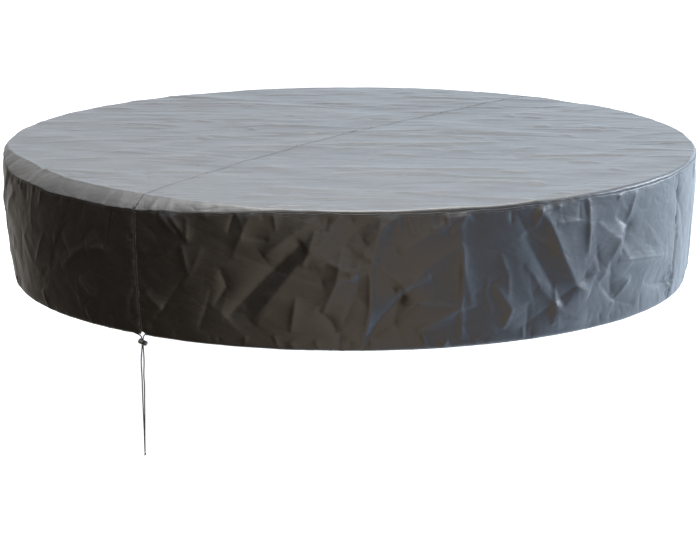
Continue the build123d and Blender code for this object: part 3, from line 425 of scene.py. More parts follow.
def skirt_grid():
    """The skirt's columns (azimuths), its points in rows from hem to seam, and how sharp each point's crease is."""
    az = SEAM_AZ + np.arange(AROUND) * 360.0 / AROUND
    seam_r, seam_z = seam_line(az)
    calm_r, calm_z = slow_seam(az)
    notch = np.exp(-(((az + 35.33) / 1.35) ** 4))  # the hem is cut up where the cord comes out
    hem_z = HEM_Z + wobble(az, 8, 6, 90, 0.0016) + 0.0085 * notch
    t, a = np.meshgrid(np.linspace(0, 1, UP), az, indexing="ij")
    near = np.exp(-(1 - t) * (SEAM_Z - HEM_Z) / 0.016)  # the seam's tucks fade out down the skirt
    z = hem_z + (calm_z - hem_z) * t + (seam_z - calm_z) * near
    field = skirt_field((np.radians(a) * SEAM_R).ravel(), (HEM_Z + (SEAM_Z - HEM_Z) * t).ravel())
    field = field.reshape(t.shape) + wobble(a + 70 * t, 14, 3, 24, 0.0022)
    rounded = 0.25 * t + 0.75 * (1 - (1 - t) ** 3)
    r_line = HEM_R + (calm_r - HEM_R) * rounded + (seam_r - calm_r) * near
    held = ramp(1.0, 0.965, t) * (0.30 + 0.70 * ramp(0.0, 0.10, t))  # the seam and the hem hold the cloth
    r = r_line + np.clip(field, -0.021, 0.024) * held
    r -= 0.0035 * np.exp(-(z - hem_z) / 0.004)
    r = np.maximum(r, CLEAR_R + 0.004 * ramp(0.1, 0.0, t)) + 0.0008
    a = np.radians(a)
    return az, np.stack([r * np.sin(a), -r * np.cos(a), z], -1), crest_of(field)


AZ, SKIRT, SKIRT_CREST = skirt_grid()

for name, first, last in SKIRT_ARCS:
    columns = np.arange(round(first * AROUND / 360), round(last * AROUND / 360) + 1)
    points, crest = SKIRT[:, columns % AROUND], SKIRT_CREST[:, columns % AROUND]
    along = np.radians(SEAM_AZ + columns * 360 / AROUND)[None].repeat(UP, 0) * SEAM_R
    uv = np.stack([along, points[..., 2]], -1)
    faces = grid_faces(UP, len(columns))
    piece = cloth_sheet(name + "_cloth", points.reshape(-1, 3), faces, uv.reshape(-1, 2), crest.ravel())
    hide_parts(name)


# ---------------------------------------------------------------- top
def half_disc():
    """Rings of points over half a disc, with fewer points on the inner rings, and the faces between them."""
    fewest = 57  # faces along the innermost rings
    radii = np.concatenate([np.arange(0.014, 0.955, 0.0072), np.linspace(0.9565, 1.05, 30)])
    wanted = [math.ceil(math.log2(math.pi * r / fewest / 0.0074)) for r in radii]
    rings = [fewest * 2 ** int(np.clip(power, 0, 3)) for power in wanted]
    place, faces, starts = [(0.0, 0.0)], [], []
    for r, n in zip(radii, rings):
        starts.append(len(place))
        place += [(r, k / n) for k in range(n + 1)]
    faces += [(0, starts[0] + k, starts[0] + k + 1) for k in range(rings[0])]
    for (lo, hi), (n, m) in zip(zip(starts[:-1], starts[1:]), zip(rings[:-1], rings[1:])):
        if n == m:
            faces += [(lo + k, hi + k, hi + k + 1, lo + k + 1) for k in range(n)]
        else:
            for k in range(n):
                inner, outer = lo + k, hi + 2 * k
                faces += [(inner, outer, outer + 1), (inner, outer + 1, inner + 1),
                          (inner + 1, outer + 1, outer + 2)]
    return np.array(place), faces, radii[-1]


def top_wrinkles():
    """The top's creases, as add_fold takes them: mostly from left to right, with a few short slanting ones."""
    rng = np.random.default_rng(9)
    made = []
    for _ in range(520):
        length = 0.05 + 0.60 * rng.random() ** 2.0
        turn = rng.normal(-0.10, 0.13) if rng.random() < 0.80 else rng.uniform(-1.4, 1.4)
        if abs(turn) > 0.5:
            length *= 0.4
        r, a = 1.02 * math.sqrt(rng.random()), rng.uniform(0, 2 * math.pi)
        centre = np.array([r * math.cos(a), r * math.sin(a)])
        step = np.array([math.cos(turn), math.sin(turn)]) * length / 2
        bow = np.array([-step[1], step[0]]) * rng.uniform(-0.10, 0.10)
        width = 0.0045 + 0.011 * rng.random() ** 1.5
        height = rng.choice([1, 1, -0.7]) * (0.0007 + 0.0032 * rng.random() ** 1.4) * (width / 0.009)
        made.append(([centre - step, centre + bow, centre + step], width, height))
    return made


def seam_shows(reach):
    """How much of the centre seam stands out: most between the middle and the front left."""
    return 0.25 + 0.75 * ramp(-0.08, 0.10, reach) * ramp(0.88, 0.70, reach)


def bowed(x, y):
    """Moves the top's middle sideways, as the centre seam bows to the left between its two ends."""
    aside = 0.083 * (1 - (x * x + y * y) / SEAM_R**2)
    return x - ALONG[0] * aside, y - ALONG[1] * aside


def top_height(x, y, folds, seam):
    """The top's height at a place, its creases alone, the seam's radius there and the azimuth.

    seam is how far the centre seam is.
    """
    r, az = np.hypot(x, y), np.degrees(np.arctan2(x, -y))
    field = np.zeros_like(x)
    for points, width, height in folds:
        add_fold(field, x, y, points, width, height, 0.3)
    for k in range(5):
        field += 0.0007 * np.sin(x * (5 + 4 * k) + 2.1 * k) * np.sin(y * (9 + 5 * k) + 1.3 * k)
    field -= 0.0016 * np.exp(-np.abs(seam) / 0.005) * seam_shows(x * OUT[0] + y * OUT[1])
    seam_r, seam_z = seam_line(az)
    low = band(az)
    crease = 1.0425 - 0.049 * low + wobble(az, 31, 7, 60, 0.0055) * (0.35 + 0.65 * low)
    down = np.clip((r - crease) / (1.0495 - crease), 0, 1)
    flat = TOP_Z - 0.0008
    slope = (seam_z - flat) * (0.55 * down + 0.45 * down**2)
    rim = 0.0016 * np.exp(-np.abs(r - crease) / 0.006) * (0.3 + low)
    free = (1 - 0.8 * ramp(0.0, 1.0, down)) * (1 - 0.35 * low * (down > 0))
    return flat + slope + rim + np.clip(field, -0.0016, 0.0042) * free, field, seam_r, az


def build_top():
    """Builds both halves of the top, and gives the folds that both have."""
    folds = top_wrinkles()
    place, faces, rim = half_disc()
    for name, start in (("top_panel_right", SEAM_POLAR), ("top_panel_left", SEAM_POLAR - 180.0)):
        polar = np.radians(start + place[:, 1] * 180.0)
        x, y = place[:, 0] * np.cos(polar), place[:, 0] * np.sin(polar)
        seam = np.abs(x * OUT[1] - y * OUT[0])
        x, y = bowed(x, y)
        z, field, seam_r, az = top_height(x, y, folds, seam)
        stretch = 1 + (seam_r / rim - 1) * ramp(0.95, 1.05, place[:, 0])
        points = np.stack([x * stretch, y * stretch, z], -1)
        edge = place[:, 0] > rim - 1e-6
        points[edge, 2] = seam_line(az[edge])[1]
        # raised creases get a painted highlight and sunk ones painted shade in the cloth's colour, through crest
        crest = np.clip((field - field.mean()) / 0.0016, -1, 1)
        piece = cloth_sheet(name + "_cloth", points, faces, np.stack([x, y], -1), crest)
        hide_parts(name)
    return folds


# ---------------------------------------------------------------- tapes, seams and stitching
def sweep(line, out, up, section, closed=False, tall=1.0):
    """Points and faces of a bar with that cross-section, (outwards, upwards) pairs, along a line."""
    line, out, up = np.asarray(line), np.asarray(out), np.asarray(up)
    ring = np.array(section)
    rise = (np.ones(len(line)) * tall)[:, None, None] * ring[None, :, 1, None]
    points = line[:, None] + out[:, None] * ring[None, :, 0, None] + up[:, None] * rise
    n, m = len(line), len(ring)
    faces = []
    for i in range(n if closed else n - 1):
        k = (i + 1) % n
        faces += [(i * m + j, k * m + j, k * m + (j + 1) % m, i * m + (j + 1) % m) for j in range(m)]
    if not closed:
        faces += [tuple(range(m)), tuple(reversed(range((n - 1) * m, n * m)))]
    return points.reshape(-1, 3), faces


def stitches(line, out, spacing, long, thick):
    """Points and faces of a row of thread stitches along a line, each a slim spindle lying on the cloth."""
    line, out = np.asarray(line), np.asarray(out)
    gone = np.concatenate([[0], np.cumsum(np.linalg.norm(np.diff(line, axis=0), axis=1))])
    centres = np.arange(spacing / 2, gone[-1], spacing)

    def at(distance, values):
        return np.stack([np.interp(distance, gone, values[:, k]) for k in range(3)], -1)

    a, b = at(centres - long / 2, line), at(centres + long / 2, line)
    c, n = at(centres, line), at(centres, out)
    side = np.cross(b - a, n)
    side /= np.maximum(np.linalg.norm(side, axis=1, keepdims=True), 1e-9)
    ring = [c + side * thick, c + n * thick * 1.4, c - side * thick, c - n * thick * 0.6]
    points = np.stack([a, b] + ring, 1).reshape(-1, 3)
    faces = []
    for k in range(len(centres)):
        o = 6 * k
        faces += [(o, o + 2 + (j + 1) % 4, o + 2 + j) for j in range(4)]
        faces += [(o + 1, o + 2 + j, o + 2 + (j + 1) % 4) for j in range(4)]
    return points, faces


def joined(*parts):
    """Several pairs of points and faces as one."""
    points, faces, count = [], [], 0
    for p, f in parts:
        points.append(np.asarray(p))
        faces += [tuple(v + count for v in face) for face in f]
        count += len(p)
    return np.concatenate(points), faces


def around_vectors(az):
    """The outward and upward directions at each azimuth."""
    a = np.radians(az)
    return np.stack([np.sin(a), -np.cos(a), 0 * a], -1), np.stack([0 * a, 0 * a, 0 * a + 1], -1)


def ring_section(wide, tall, count):
    a = np.arange(count) * 2 * math.pi / count
    return [(wide * math.cos(v), tall * math.sin(v)) for v in a]


top_folds = build_top()
out_ring, up_ring = around_vectors(AZ)
seam_r, seam_z = seam_line(AZ)

binding_line = out_ring * (seam_r + 0.0003)[:, None] + up_ring * (seam_z - 0.0003)[:, None]
binding = build("seam_binding", *sweep(binding_line, out_ring, up_ring, ring_section(0.0010, 0.0014, 8), True),
                "weather_cover", "cover_tape")
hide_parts("perimeter_binding")

loop = np.append(np.arange(AROUND), 0)
row_z = seam_z - 0.0062  # a row of thread under the seam
row_r = np.array([
    np.interp(z, SKIRT[:, j, 2], np.hypot(SKIRT[:, j, 0], SKIRT[:, j, 1])) for j, z in enumerate(row_z)
])
row = out_ring * (row_r + 0.0004)[:, None] + up_ring * row_z[:, None]
thread_parts = [stitches(row[loop], out_ring[loop], 0.0046, 0.0036, 0.00035)]

SEAM_FOLD = [  # cross-section of an upright seam
    (-0.0065, -0.0005), (0.0062, -0.0005), (0.0065, 0.0004), (0.0050, 0.0009), (-0.0050, 0.0011), (-0.0065, 0.0004),
]
CENTRE_FOLD = [
    (-0.0042, -0.0009), (0.0040, -0.0009), (0.0042, 0.0002), (0.0022, 0.0012), (-0.0004, 0.0021), (-0.0030, 0.0016),
    (-0.0042, 0.0002),
]


def upright_seam(first):
    """A lapped seam down the skirt: a flat fold of cloth, with two rows of thread on it."""
    column = round(first * AROUND / 360)
    near = SKIRT[:, [(column + k) % AROUND for k in (-2, -1, 0, 1, 2)]]
    out, _ = around_vectors(np.array([SEAM_AZ + first]))
    out = out.repeat(UP, 0)
    centre = near[:, 2] + out * 0.0004
    across = near[:, 3] - near[:, 1]
    across /= np.linalg.norm(across, axis=1, keepdims=True)
    keep = slice(1, UP - 1)
    tape = sweep(centre[keep], across[keep], out[keep], SEAM_FOLD)
    lines = [(centre + across * aside + out * 0.0011)[keep] for aside in (-0.0038, 0.0038)]
    return tape, [stitches(line, out[keep], 0.0044, 0.0034, 0.00038) for line in lines]


seams = [upright_seam(first) for _, first, _ in SKIRT_ARCS]
seam_tape = build("skirt_seam_folds", *joined(*[tape for tape, _ in seams]), "weather_cover", "cover_tape")
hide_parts("skirt_seam_tapes")
thread_parts += [row for _, rows in seams for row in rows]

reach = np.linspace(-1.044, 1.047, 420)
cx, cy = bowed(reach * OUT[0], reach * OUT[1])
cz = top_height(cx, cy, top_folds, 0 * reach)[0]
line = np.stack([cx, cy, cz + 0.0007], -1)
across = np.array([[-OUT[1], OUT[0], 0.0]]).repeat(len(line), 0)
upward = np.array([[0.0, 0.0, 1.0]]).repeat(len(line), 0)
bead = sweep(line, across, upward, CENTRE_FOLD, tall=seam_shows(reach))
centre_seam = build("centre_seam", *bead, "weather_cover", "cover_tape")
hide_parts("centre_seam_tape")
for d in (-0.0062, 0.0062):
    thread_parts.append(stitches(line + across * d, upward, 0.0044, 0.0034, 0.0004))
build("cover_threads", *joined(*thread_parts), "weather_cover", "cover_tape")


# ---------------------------------------------------------------- hem, knot and cords
def build_hem():
    """The gathered tunnel round the drawcord, hollow, open at the two mouths."""
    az = np.linspace(RIGHT_MOUTH + FRONT - 360.0, LEFT_MOUTH + FRONT, 1500)
    out, up = around_vectors(az)
    fine = wobble(az, 41, 90, 420, 0.0006)
    sections = []
    count = 14
    for sign, grow in ((1, 0.0), (-1, -0.0008)):
        a = np.arange(count) * 2 * math.pi / count * sign
        wide = 0.0034 + grow + np.abs(fine)[:, None] * 0.6
        tall = 0.0052 + grow + fine[:, None] * 0.9
        r = 1.0183 + wide * np.cos(a)[None] + 0.0004 * np.sin(3 * a)[None]
        z = -0.0032 + tall * np.sin(a)[None] + wobble(az, 42, 30, 200, 0.0004)[:, None]
        sections.append(out[:, None] * r[..., None] + up[:, None] * z[..., None])
    n, m = len(az), count
    points = np.concatenate([s.reshape(-1, 3) for s in sections])
    faces = []
    for base in (0, n * m):
        for i in range(n - 1):
            low, high = base + i * m, base + (i + 1) * m
            faces += [(low + j, high + j, high + (j + 1) % m, low + (j + 1) % m) for j in range(m)]
    for i in (0, n - 1):
        for j in range(m):
            a, b = i * m + j, i * m + (j + 1) % m
            c, d = n * m + i * m + (m - j) % m, n * m + i * m + (m - j - 1) % m
            faces.append((a, b, d, c) if i == 0 else (a, c, d, b))
    uv = np.stack([np.radians(az)[:, None].repeat(m, 1), np.zeros((n, m)) + np.arange(m) * 0.002], -1)
    uv = np.concatenate([uv.reshape(-1, 2)] * 2)
    hem = build("gathered_hem", points, faces, "weather_cover", "cover_fabric", uv, np.zeros(len(points)))
    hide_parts("hem_tunnel")
    return hem


hem = build_hem()

KNOT = np.array([SEAM_POINT[0] + 0.0015, SEAM_POINT[1], -0.3555])


def build_knot():
    """An overhand knot in the two tails: a trefoil of cord, squeezed to the knot's own size."""
    t = np.linspace(0, 2 * math.pi, 97)[:-1]
    loop = np.stack([np.sin(t) + 2 * np.sin(2 * t), np.cos(t) - 2 * np.cos(2 * t), -np.sin(3 * t)], -1)
    rise = loop[:, [1]] * 0.00055 + loop[:, [2]] * 0.0013
    line = KNOT + loop * np.array([0.00045, 0.00085, 0.0]) + np.array([0, 0, 1.0]) * rise
    tangent = np.roll(line, -1, 0) - np.roll(line, 1, 0)
    tangent /= np.linalg.norm(tangent, axis=1, keepdims=True)
    side = np.cross(tangent, [0.3, 0.2, 1.0])
    side /= np.linalg.norm(side, axis=1, keepdims=True)
    turns = sweep(line, side, np.cross(side, tangent), ring_section(0.00155, 0.00155, 10), True)
    return build("tail_knot", *turns, "weather_cover", "cord")


knot = build_knot()
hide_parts("cord_knot")

tails = []
for name, route, length in (("cord_tail_left", LEFT_ROUTE, 0.378), ("cord_tail_right", RIGHT_ROUTE, 0.3545)):
    tail, line = braided_cord(name + "_braid", route)
    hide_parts(name)
    tails.append(tail)


# ---------------------------------------------------------------- inflated tub and lid
def revolve(name, profile, body, slot, columns, detail):
    """Turns a closed profile of (radius, height) round Z.

    detail(az, radius, height) says how far each point is moved along the profile's normal.
    """
    az = np.arange(columns) * 360.0 / columns
    prof = np.array(profile)
    tangent = np.roll(prof, -1, 0) - np.roll(prof, 1, 0)
    tangent /= np.maximum(np.linalg.norm(tangent, axis=1, keepdims=True), 1e-9)
    normal = np.stack([tangent[:, 1], -tangent[:, 0]], -1)
    shift = detail(az[None, :], prof[:, None, 0], prof[:, None, 1])
    r = prof[:, None, 0] + normal[:, None, 0] * shift
    z = prof[:, None, 1] + normal[:, None, 1] * shift
    a = np.radians(az)[None]
    points = np.stack([r * np.sin(a), -r * np.cos(a), z + 0 * a], -1)
    faces = grid_faces(len(prof), columns, True)
    last = (len(prof) - 1) * columns
    faces += [(last + j, last + (j + 1) % columns, (j + 1) % columns, j) for j in range(columns)]
    return build(name, points.reshape(-1, 3), faces, body, slot)


def puff(x, low, high, count, power=0.55):
    """0 at the welds between equal chambers, and 1 in the middle of each."""
    return np.abs(np.sin(math.pi * count * (x - low) / (high - low))) ** power


def tub_detail(az, r, z):
    """Fine puckers that fan out from the welds of the inflated wall."""
    wall = (z > 0.012) & (z < 0.312)
    near_weld = np.where(wall, (1 - puff(z, 0.003, 0.318, 3, 0.8)) ** 2, 0.4)
    pucker = 0.0011 * near_weld * wobble(az * np.ones_like(z), 51, 60, 300, 1.0)
    return pucker + 0.0005 * np.sin(np.radians(az) * 40) * (1 - near_weld)


def tub_wall():
    z = np.linspace(0.006, 0.314, 75)
    bulge = 0.0098 * puff(z, 0.003, 0.318, 3)
    outer = [(0.975 + out, v) for v, out in zip(z, bulge)]
    deck = [(0.975 - 0.175 * u, 0.318 + 0.0085 * math.sin(math.pi * u) ** 0.6) for u in np.linspace(0.02, 0.98, 40)]
    inner = [(0.800 - out, v) for v, out in zip(z[::-1], bulge[::-1])]
    foot = [(0.803 + 0.168 * u, 0.0042) for u in np.linspace(0, 1, 12)]
    piece = revolve("tub_wall", outer + deck + inner + foot, "tub", "tub_outside", 720, tub_detail)
    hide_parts("outer_wall", "inner_wall", "top_deck", "weld_bands")
    return piece


def lid_detail(az, r, z):
    """The lid's quilting over its bladder's webs, small creases along them, and puckers at the rim."""
    top = z > 0.37
    x = r * np.sin(np.radians(az))
    y = -r * np.cos(np.radians(az))
    web = np.abs((y / 0.18 + 0.5) % 1.0 - 0.5) * 2
    quilt = 0.0022 * (np.sqrt(np.clip(web, 0, 1)) - 1) * ramp(0.985, 0.95, r)
    crease = 0.0004 * np.sin(x * 90 + 9 * np.sin(y * 23)) * np.exp(-(web / 0.25) ** 2)
    pucker = 0.0004 * wobble(az * np.ones_like(r), 61, 40, 200, 1.0) * ramp(0.95, 0.99, r)
    return np.where(top, quilt + crease, 0.0) + pucker


def lid_shell():
    top = [(0.006 + 0.984 * u, 0.3788) for u in np.linspace(0, 1, 150)]
    rim = [(0.990 + 0.0092 * math.sin(v), 0.3700 + 0.0086 * math.cos(v)) for v in np.linspace(0.3, 1.5, 7)]
    side = [(0.9990, v) for v in np.linspace(0.366, 0.336, 8)]
    foot = [(0.990 + 0.0088 * math.sin(v), 0.3366 + 0.0088 * math.cos(v)) for v in np.linspace(1.7, 3.0, 6)]
    under = [(0.985 * u + 0.004, 0.3276) for u in np.linspace(1, 0, 40)]
    piece = revolve("lid_shell", (top + rim + side + foot + under)[::-1], "lid", "lid_fabric", 600, lid_detail)
    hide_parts("lid_bottom_sheet", "lid_top_sheet", "lid_rim_band")
    return piece


def floor_cushion():
    def detail(az, r, z):
        x, y = r * np.sin(np.radians(az)), -r * np.cos(np.radians(az))
        return np.where(z > 0.01, 0.0012 * np.abs(np.sin(x * 17) * np.sin(y * 17)) ** 0.5 - 0.001, 0.0)
    top = [(0.004 + 0.780 * u, 0.0150) for u in np.linspace(0, 1, 90)]
    side = [(0.7875, 0.012), (0.7878, 0.008), (0.7872, 0.0045)]
    under = [(0.780 * u + 0.004, 0.0035) for u in np.linspace(1, 0, 8)]
    piece = revolve("floor_cushion", (top + side + under)[::-1], "tub", "tub_inside", 300, detail)
    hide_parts("floor_liner", "floor_pad")
    return piece


tub_piece = tub_wall()
lid_shell()
floor_cushion()


# ---------------------------------------------------------------- materials
def new_material(name):
    made = bpy.data.materials.new(name)
    made.use_nodes = True
    return made, made.node_tree, made.node_tree.nodes["Principled BSDF"]


def node(tree, kind, **values):
    made = tree.nodes.new(kind)
    for key, value in values.items():
        if key in made.inputs:
            made.inputs[key].default_value = value
        else:
            setattr(made, key, value)
    return made


def noise(tree, place, scale, detail=3.0, rough=0.55):
    made = node(tree, "ShaderNodeTexNoise", Scale=scale, Detail=detail, Roughness=rough)
    tree.links.new(place, made.inputs["Vector"])
    return made.outputs["Fac"]


def colours(tree, value, stops):
    made = tree.nodes.new("ShaderNodeValToRGB")
    while len(made.color_ramp.elements) < len(stops):
        made.color_ramp.elements.new(0.5)
    for element, (position, colour) in zip(made.color_ramp.elements, stops):
        element.position, element.color = position, (*colour, 1.0)
    tree.links.new(value, made.inputs["Fac"])
    return made.outputs["Color"]


def sums(tree, operation, *values):
    made = node(tree, "ShaderNodeMath", operation=operation)
    for socket, value in zip(made.inputs, values):
        if isinstance(value, (int, float)):
            socket.default_value = value
        else:
            tree.links.new(value, socket)
    return made.outputs[0]


def bump(tree, height, distance, strength=1.0, after=None):
    made = node(tree, "ShaderNodeBump", Distance=distance, Strength=strength)
    tree.links.new(height, made.inputs["Height"])
    if after:
        tree.links.new(after, made.inputs["Normal"])
    return made.outputs["Normal"]


def crumple(tree, space):
    """Sharp small creases: they run from left to right on the top, and slant on the skirt."""
    split, slanted = node(tree, "ShaderNodeSeparateXYZ"), node(tree, "ShaderNodeCombineXYZ")
    tree.links.new(space, split.inputs[0])
    x, y, z = split.outputs
    slant = sums(tree, "ADD", sums(tree, "MULTIPLY", x, 0.42), sums(tree, "MULTIPLY", z, 0.75))
    tree.links.new(slant, slanted.inputs[0])
    tree.links.new(y, slanted.inputs[1])
    tree.links.new(z, slanted.inputs[2])
    ridges = [
        sums(tree, "ABSOLUTE", sums(tree, "SUBTRACT", noise(tree, slanted.outputs[0], scale, 2.0, 0.45), 0.5))
        for scale in (6.5, 17.0)
    ]
    return sums(tree, "ADD", ridges[0], sums(tree, "MULTIPLY", ridges[1], 0.45))


def woven(name, dark, light, rough, pitch, uv=True, sheen=0.10, crest_shade_and_crumple=True):
    """Coated woven cloth: fine weave, slow colour change, and colour from the crest attribute: paler fold tops, as
    rubbed wear and painted highlight, and darker fold hollows, as painted shade.
    """
    made, tree, shader = new_material(name)
    coords = tree.nodes.new("ShaderNodeTexCoord")
    space = coords.outputs["Object"]
    cloth = coords.outputs["UV"] if uv else space
    slow = noise(tree, space, 3.0, 4.0, 0.6)
    spots = noise(tree, space, 34.0, 5.0, 0.65)
    value = sums(tree, "ADD", sums(tree, "MULTIPLY", slow, 0.65), sums(tree, "MULTIPLY", spots, 0.35))
    if crest_shade_and_crumple:
        # painted highlight and painted shade: the crest attribute makes the base colour paler on fold tops and darker
        # in fold hollows
        crest_shade = node(tree, "ShaderNodeAttribute", attribute_name="crest")
        value = sums(tree, "ADD", value, sums(tree, "MULTIPLY", crest_shade.outputs["Fac"], 0.16))
    tree.links.new(colours(tree, value, [(0.25, dark), (0.75, light)]), shader.inputs["Base Color"])
    gloss = sums(tree, "ADD", rough - 0.07, sums(tree, "MULTIPLY", spots, 0.14))
    tree.links.new(gloss, shader.inputs["Roughness"])
    warp = node(tree, "ShaderNodeTexWave", wave_type="BANDS", bands_direction="X", Scale=1 / pitch / 3.14)
    weft = node(tree, "ShaderNodeTexWave", wave_type="BANDS", bands_direction="Y", Scale=1 / pitch / 3.14)
    for wave in (warp, weft):
        tree.links.new(cloth, wave.inputs["Vector"])
    weave = sums(tree, "MULTIPLY", warp.outputs["Fac"], weft.outputs["Fac"])
    small = bump(tree, noise(tree, space, 60.0, 4.0, 0.6), 0.0009, 0.35)
    if crest_shade_and_crumple:
        small = bump(tree, crumple(tree, space), 0.011, 0.75, small)
    tree.links.new(bump(tree, weave, 0.00008, 0.5, small), shader.inputs["Normal"])
    shader.inputs["Sheen Weight"].default_value = sheen
    shader.inputs["Sheen Roughness"].default_value = 0.35
    shader.inputs["Sheen Tint"].default_value = (0.75, 0.82, 0.9, 1)
    shader.inputs["IOR"].default_value = 1.52
    return made


def moulded(name, dark, light, rough, metal=0.0, coat=0.0, grain=260.0, depth=0.00012):
    """Moulded plastic, vinyl or metal: slow colour change, fine grain, and marks in the gloss."""
    made, tree, shader = new_material(name)
    space = tree.nodes.new("ShaderNodeTexCoord").outputs["Object"]
    slow, fine = noise(tree, space, 9.0, 4.0), noise(tree, space, grain, 3.0)
    tree.links.new(colours(tree, slow, [(0.3, dark), (0.7, light)]), shader.inputs["Base Color"])
    spots = noise(tree, space, 45.0, 5.0, 0.65)
    gloss = sums(tree, "ADD", rough - 0.06, sums(tree, "MULTIPLY", spots, 0.12))
    tree.links.new(gloss, shader.inputs["Roughness"])
    tree.links.new(bump(tree, fine, depth, 0.5), shader.inputs["Normal"])
    shader.inputs["Metallic"].default_value = metal
    shader.inputs["Coat Weight"].default_value = coat
    shader.inputs["Coat Roughness"].default_value = 0.12
    return made


LOOKS = {
    "cover_fabric": woven("cover_fabric", (0.0095, 0.0080, 0.0068), (0.021, 0.0185, 0.0165), 0.42, 0.0006),
    "cover_tape": woven(
        "cover_tape", (0.010, 0.010, 0.010), (0.022, 0.022, 0.023), 0.55, 0.0009, uv=False, crest_shade_and_crumple=False
    ),
    "thread": woven("thread", (0.10, 0.10, 0.10), (0.20, 0.20, 0.19), 0.6, 0.0004, uv=False, crest_shade_and_crumple=False),
    "cord": woven("cord", (0.008, 0.008, 0.008), (0.020, 0.020, 0.020), 0.6, 0.0010, uv=False, crest_shade_and_crumple=False),
    "grommet": moulded("grommet", (0.60, 0.55, 0.44), (0.75, 0.68, 0.52), 0.28, metal=1.0),
    "lock_barrel": moulded("lock_barrel", (0.075, 0.064, 0.058), (0.12, 0.105, 0.095), 0.22, coat=0.6),
    "lock_button": moulded("lock_button", (0.012, 0.012, 0.012), (0.022, 0.022, 0.022), 0.45),
    "spring_steel": moulded("spring_steel", (0.45, 0.45, 0.45), (0.6, 0.6, 0.6), 0.3, metal=1.0),
    "tub_outside": moulded(
        "tub_outside", (0.045, 0.048, 0.055), (0.075, 0.08, 0.09), 0.42, grain=420, depth=0.0002
    ),
    "tub_inside": moulded(
        "tub_inside", (0.50, 0.54, 0.56), (0.60, 0.64, 0.66), 0.38, grain=420, depth=0.0002
    ),
    "foam": moulded("foam", (0.30, 0.32, 0.35), (0.38, 0.40, 0.43), 0.8, grain=600, depth=0.0004),
    "fitting": moulded("fitting", (0.27, 0.29, 0.31), (0.35, 0.37, 0.39), 0.40),
    "seal": moulded("seal", (0.02, 0.02, 0.02), (0.04, 0.04, 0.04), 0.6),
    "cap": moulded("cap", (0.09, 0.10, 0.115), (0.14, 0.15, 0.17), 0.38),
    "webbing": woven(
        "webbing", (0.012, 0.012, 0.013), (0.030, 0.030, 0.033), 0.6, 0.0016, uv=False, crest_shade_and_crumple=False
    ),
    "buckle": moulded("buckle", (0.012, 0.012, 0.013), (0.028, 0.028, 0.030), 0.35),
    "lid_fabric": woven(
        "lid_fabric", (0.050, 0.053, 0.062), (0.085, 0.09, 0.105), 0.5, 0.0008, uv=False, crest_shade_and_crumple=False
    ),
    "bladder": moulded("bladder", (0.48, 0.51, 0.53), (0.58, 0.61, 0.63), 0.3),
}

for part in frame["record"]["subparts"]:
    data = NODES[part["node"]].data
    data.materials.clear()
    data.materials.append(LOOKS[part["material_slot"]])
for piece in list(bpy.context.scene.objects):
    if piece.type in ("MESH", "CURVE") and piece.name not in NODES:
        look = "thread" if piece.name == "cover_threads" else piece.get("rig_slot")
        piece.data.materials.append(LOOKS[look])
tub_piece.data.materials.append(LOOKS["tub_inside"])
middle = np.array([p.center for p in tub_piece.data.polygons])
pale = np.hypot(middle[:, 0], middle[:, 1]) < 0.962
tub_piece.data.polygons.foreach_set("material_index", pale.astype(np.int32))
tub_piece.data.update()


# ---------------------------------------------------------------- floor, light and world
def make_floor():
    size, level = 24.0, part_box("cord_knot")[0].z - 0.008
    steps = np.linspace(-size, size, 9)
    gx, gy = np.meshgrid(steps, steps, indexing="ij")
    mesh = bpy.data.meshes.new("floor")
    points = np.stack([gx, gy, 0 * gx + level], -1).reshape(-1, 3)
    mesh.from_pydata(points.tolist(), [], [f[::-1] for f in grid_faces(9, 9)])
    ground = bpy.data.objects.new("floor", mesh)
    bpy.context.scene.collection.objects.link(ground)
    made, tree, shader = new_material("floor")
    space = tree.nodes.new("ShaderNodeTexCoord").outputs["Object"]
    greys = [(0.3, (0.30, 0.30, 0.30)), (0.7, (0.33, 0.33, 0.33))]
    tree.links.new(colours(tree, noise(tree, space, 2.0), greys), shader.inputs["Base Color"])
    shader.inputs["Roughness"].default_value = 0.9
    shader.inputs["Specular IOR Level"].default_value = 0.1
    shader.inputs["Emission Color"].default_value = (1.0, 1.0, 1.0, 1.0)
    shader.inputs["Emission Strength"].default_value = 1.0
    mesh.materials.append(made)
    ground.visible_glossy = False
    ground.visible_diffuse = False


def area_light(name, place, aim, width, height, power, colour):
    data = bpy.data.lights.new(name, "AREA")
    data.shape, data.size, data.size_y, data.energy, data.color = "RECTANGLE", width, height, power, colour
    lamp = bpy.data.objects.new(name, data)
    bpy.context.scene.collection.objects.link(lamp)
    lamp.location = place
    lamp.rotation_euler = (Vector(aim) - Vector(place)).to_track_quat("-Z", "Y").to_euler()
    return lamp


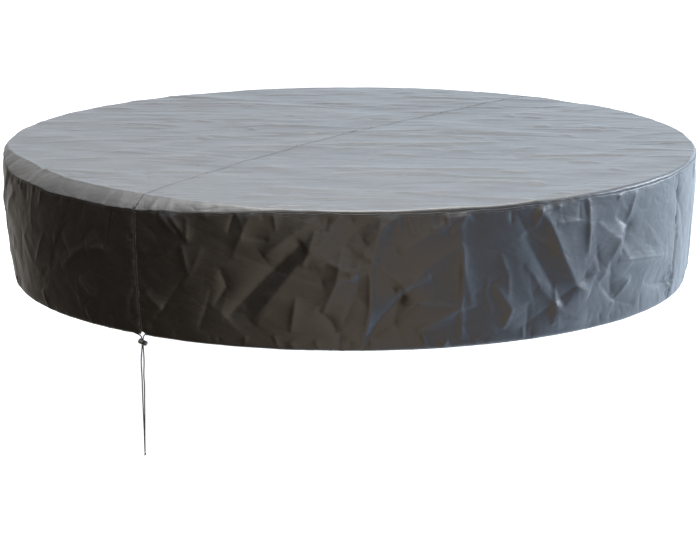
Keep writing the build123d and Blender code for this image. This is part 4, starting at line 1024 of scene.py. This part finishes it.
WORLD = [  # place round the world from the back, by the left, the front and the right, to the back again
    (0.00, (0.60, 0.68, 0.76)), (0.05, (0.52, 0.52, 0.52)), (0.09, (0.26, 0.22, 0.17)), (0.14, (0.030, 0.023, 0.016)),
    (0.38, (0.030, 0.022, 0.015)), (0.43, (0.38, 0.31, 0.24)), (0.53, (0.92, 0.77, 0.62)), (0.60, (0.46, 0.41, 0.37)),
    (0.625, (0.17, 0.22, 0.34)), (0.68, (0.42, 0.57, 0.82)), (0.74, (0.95, 1.22, 1.58)), (0.88, (1.00, 1.22, 1.48)),
    (0.95, (0.82, 0.98, 1.14)), (1.00, (0.60, 0.68, 0.76)),
]


def make_world():
    world = bpy.data.worlds.new("studio")
    bpy.context.scene.world = world
    world.use_nodes = True
    tree = world.node_tree
    coords = node(tree, "ShaderNodeTexCoord")
    split = node(tree, "ShaderNodeSeparateXYZ")
    tree.links.new(coords.outputs["Generated"], split.inputs[0])
    turn = sums(tree, "ARCTAN2", split.outputs[0], sums(tree, "MULTIPLY", split.outputs[1], -1.0))
    share = sums(tree, "ADD", sums(tree, "DIVIDE", turn, 2 * math.pi), 0.5)
    sides = colours(tree, share, WORLD)
    mix = node(tree, "ShaderNodeMix", data_type="RGBA")
    high = sums(tree, "MULTIPLY", sums(tree, "SUBTRACT", split.outputs[2], 0.30), 2.2)
    high = sums(tree, "MINIMUM", sums(tree, "MAXIMUM", high, 0.0), 1.0)
    tree.links.new(high, mix.inputs[0])
    tree.links.new(sides, mix.inputs[6])
    mix.inputs[7].default_value = (0.66, 0.71, 0.77, 1.0)
    room = tree.nodes["Background"]
    tree.links.new(mix.outputs[2], room.inputs[0])
    room.inputs[1].default_value = 2.0
    backdrop = node(tree, "ShaderNodeBackground")
    backdrop.inputs[0].default_value = (1.0, 1.0, 1.0, 1.0)
    path = node(tree, "ShaderNodeLightPath")
    choose = node(tree, "ShaderNodeMixShader")
    tree.links.new(path.outputs["Is Camera Ray"], choose.inputs[0])
    tree.links.new(room.outputs[0], choose.inputs[1])
    tree.links.new(backdrop.outputs[0], choose.inputs[2])
    tree.links.new(choose.outputs[0], tree.nodes["World Output"].inputs[0])


make_floor()
make_world()
area_light("overhead", (0.3, 0.6, 5.0), (0, 0, 0.2), 5.0, 4.0, 800, (1.0, 0.99, 0.97))
area_light("window", (6.5, 1.6, 1.7), (0.6, 0, 0.2), 2.2, 1.6, 450, (0.78, 0.88, 1.0))
bpy.context.scene.view_settings.view_transform = "Standard"
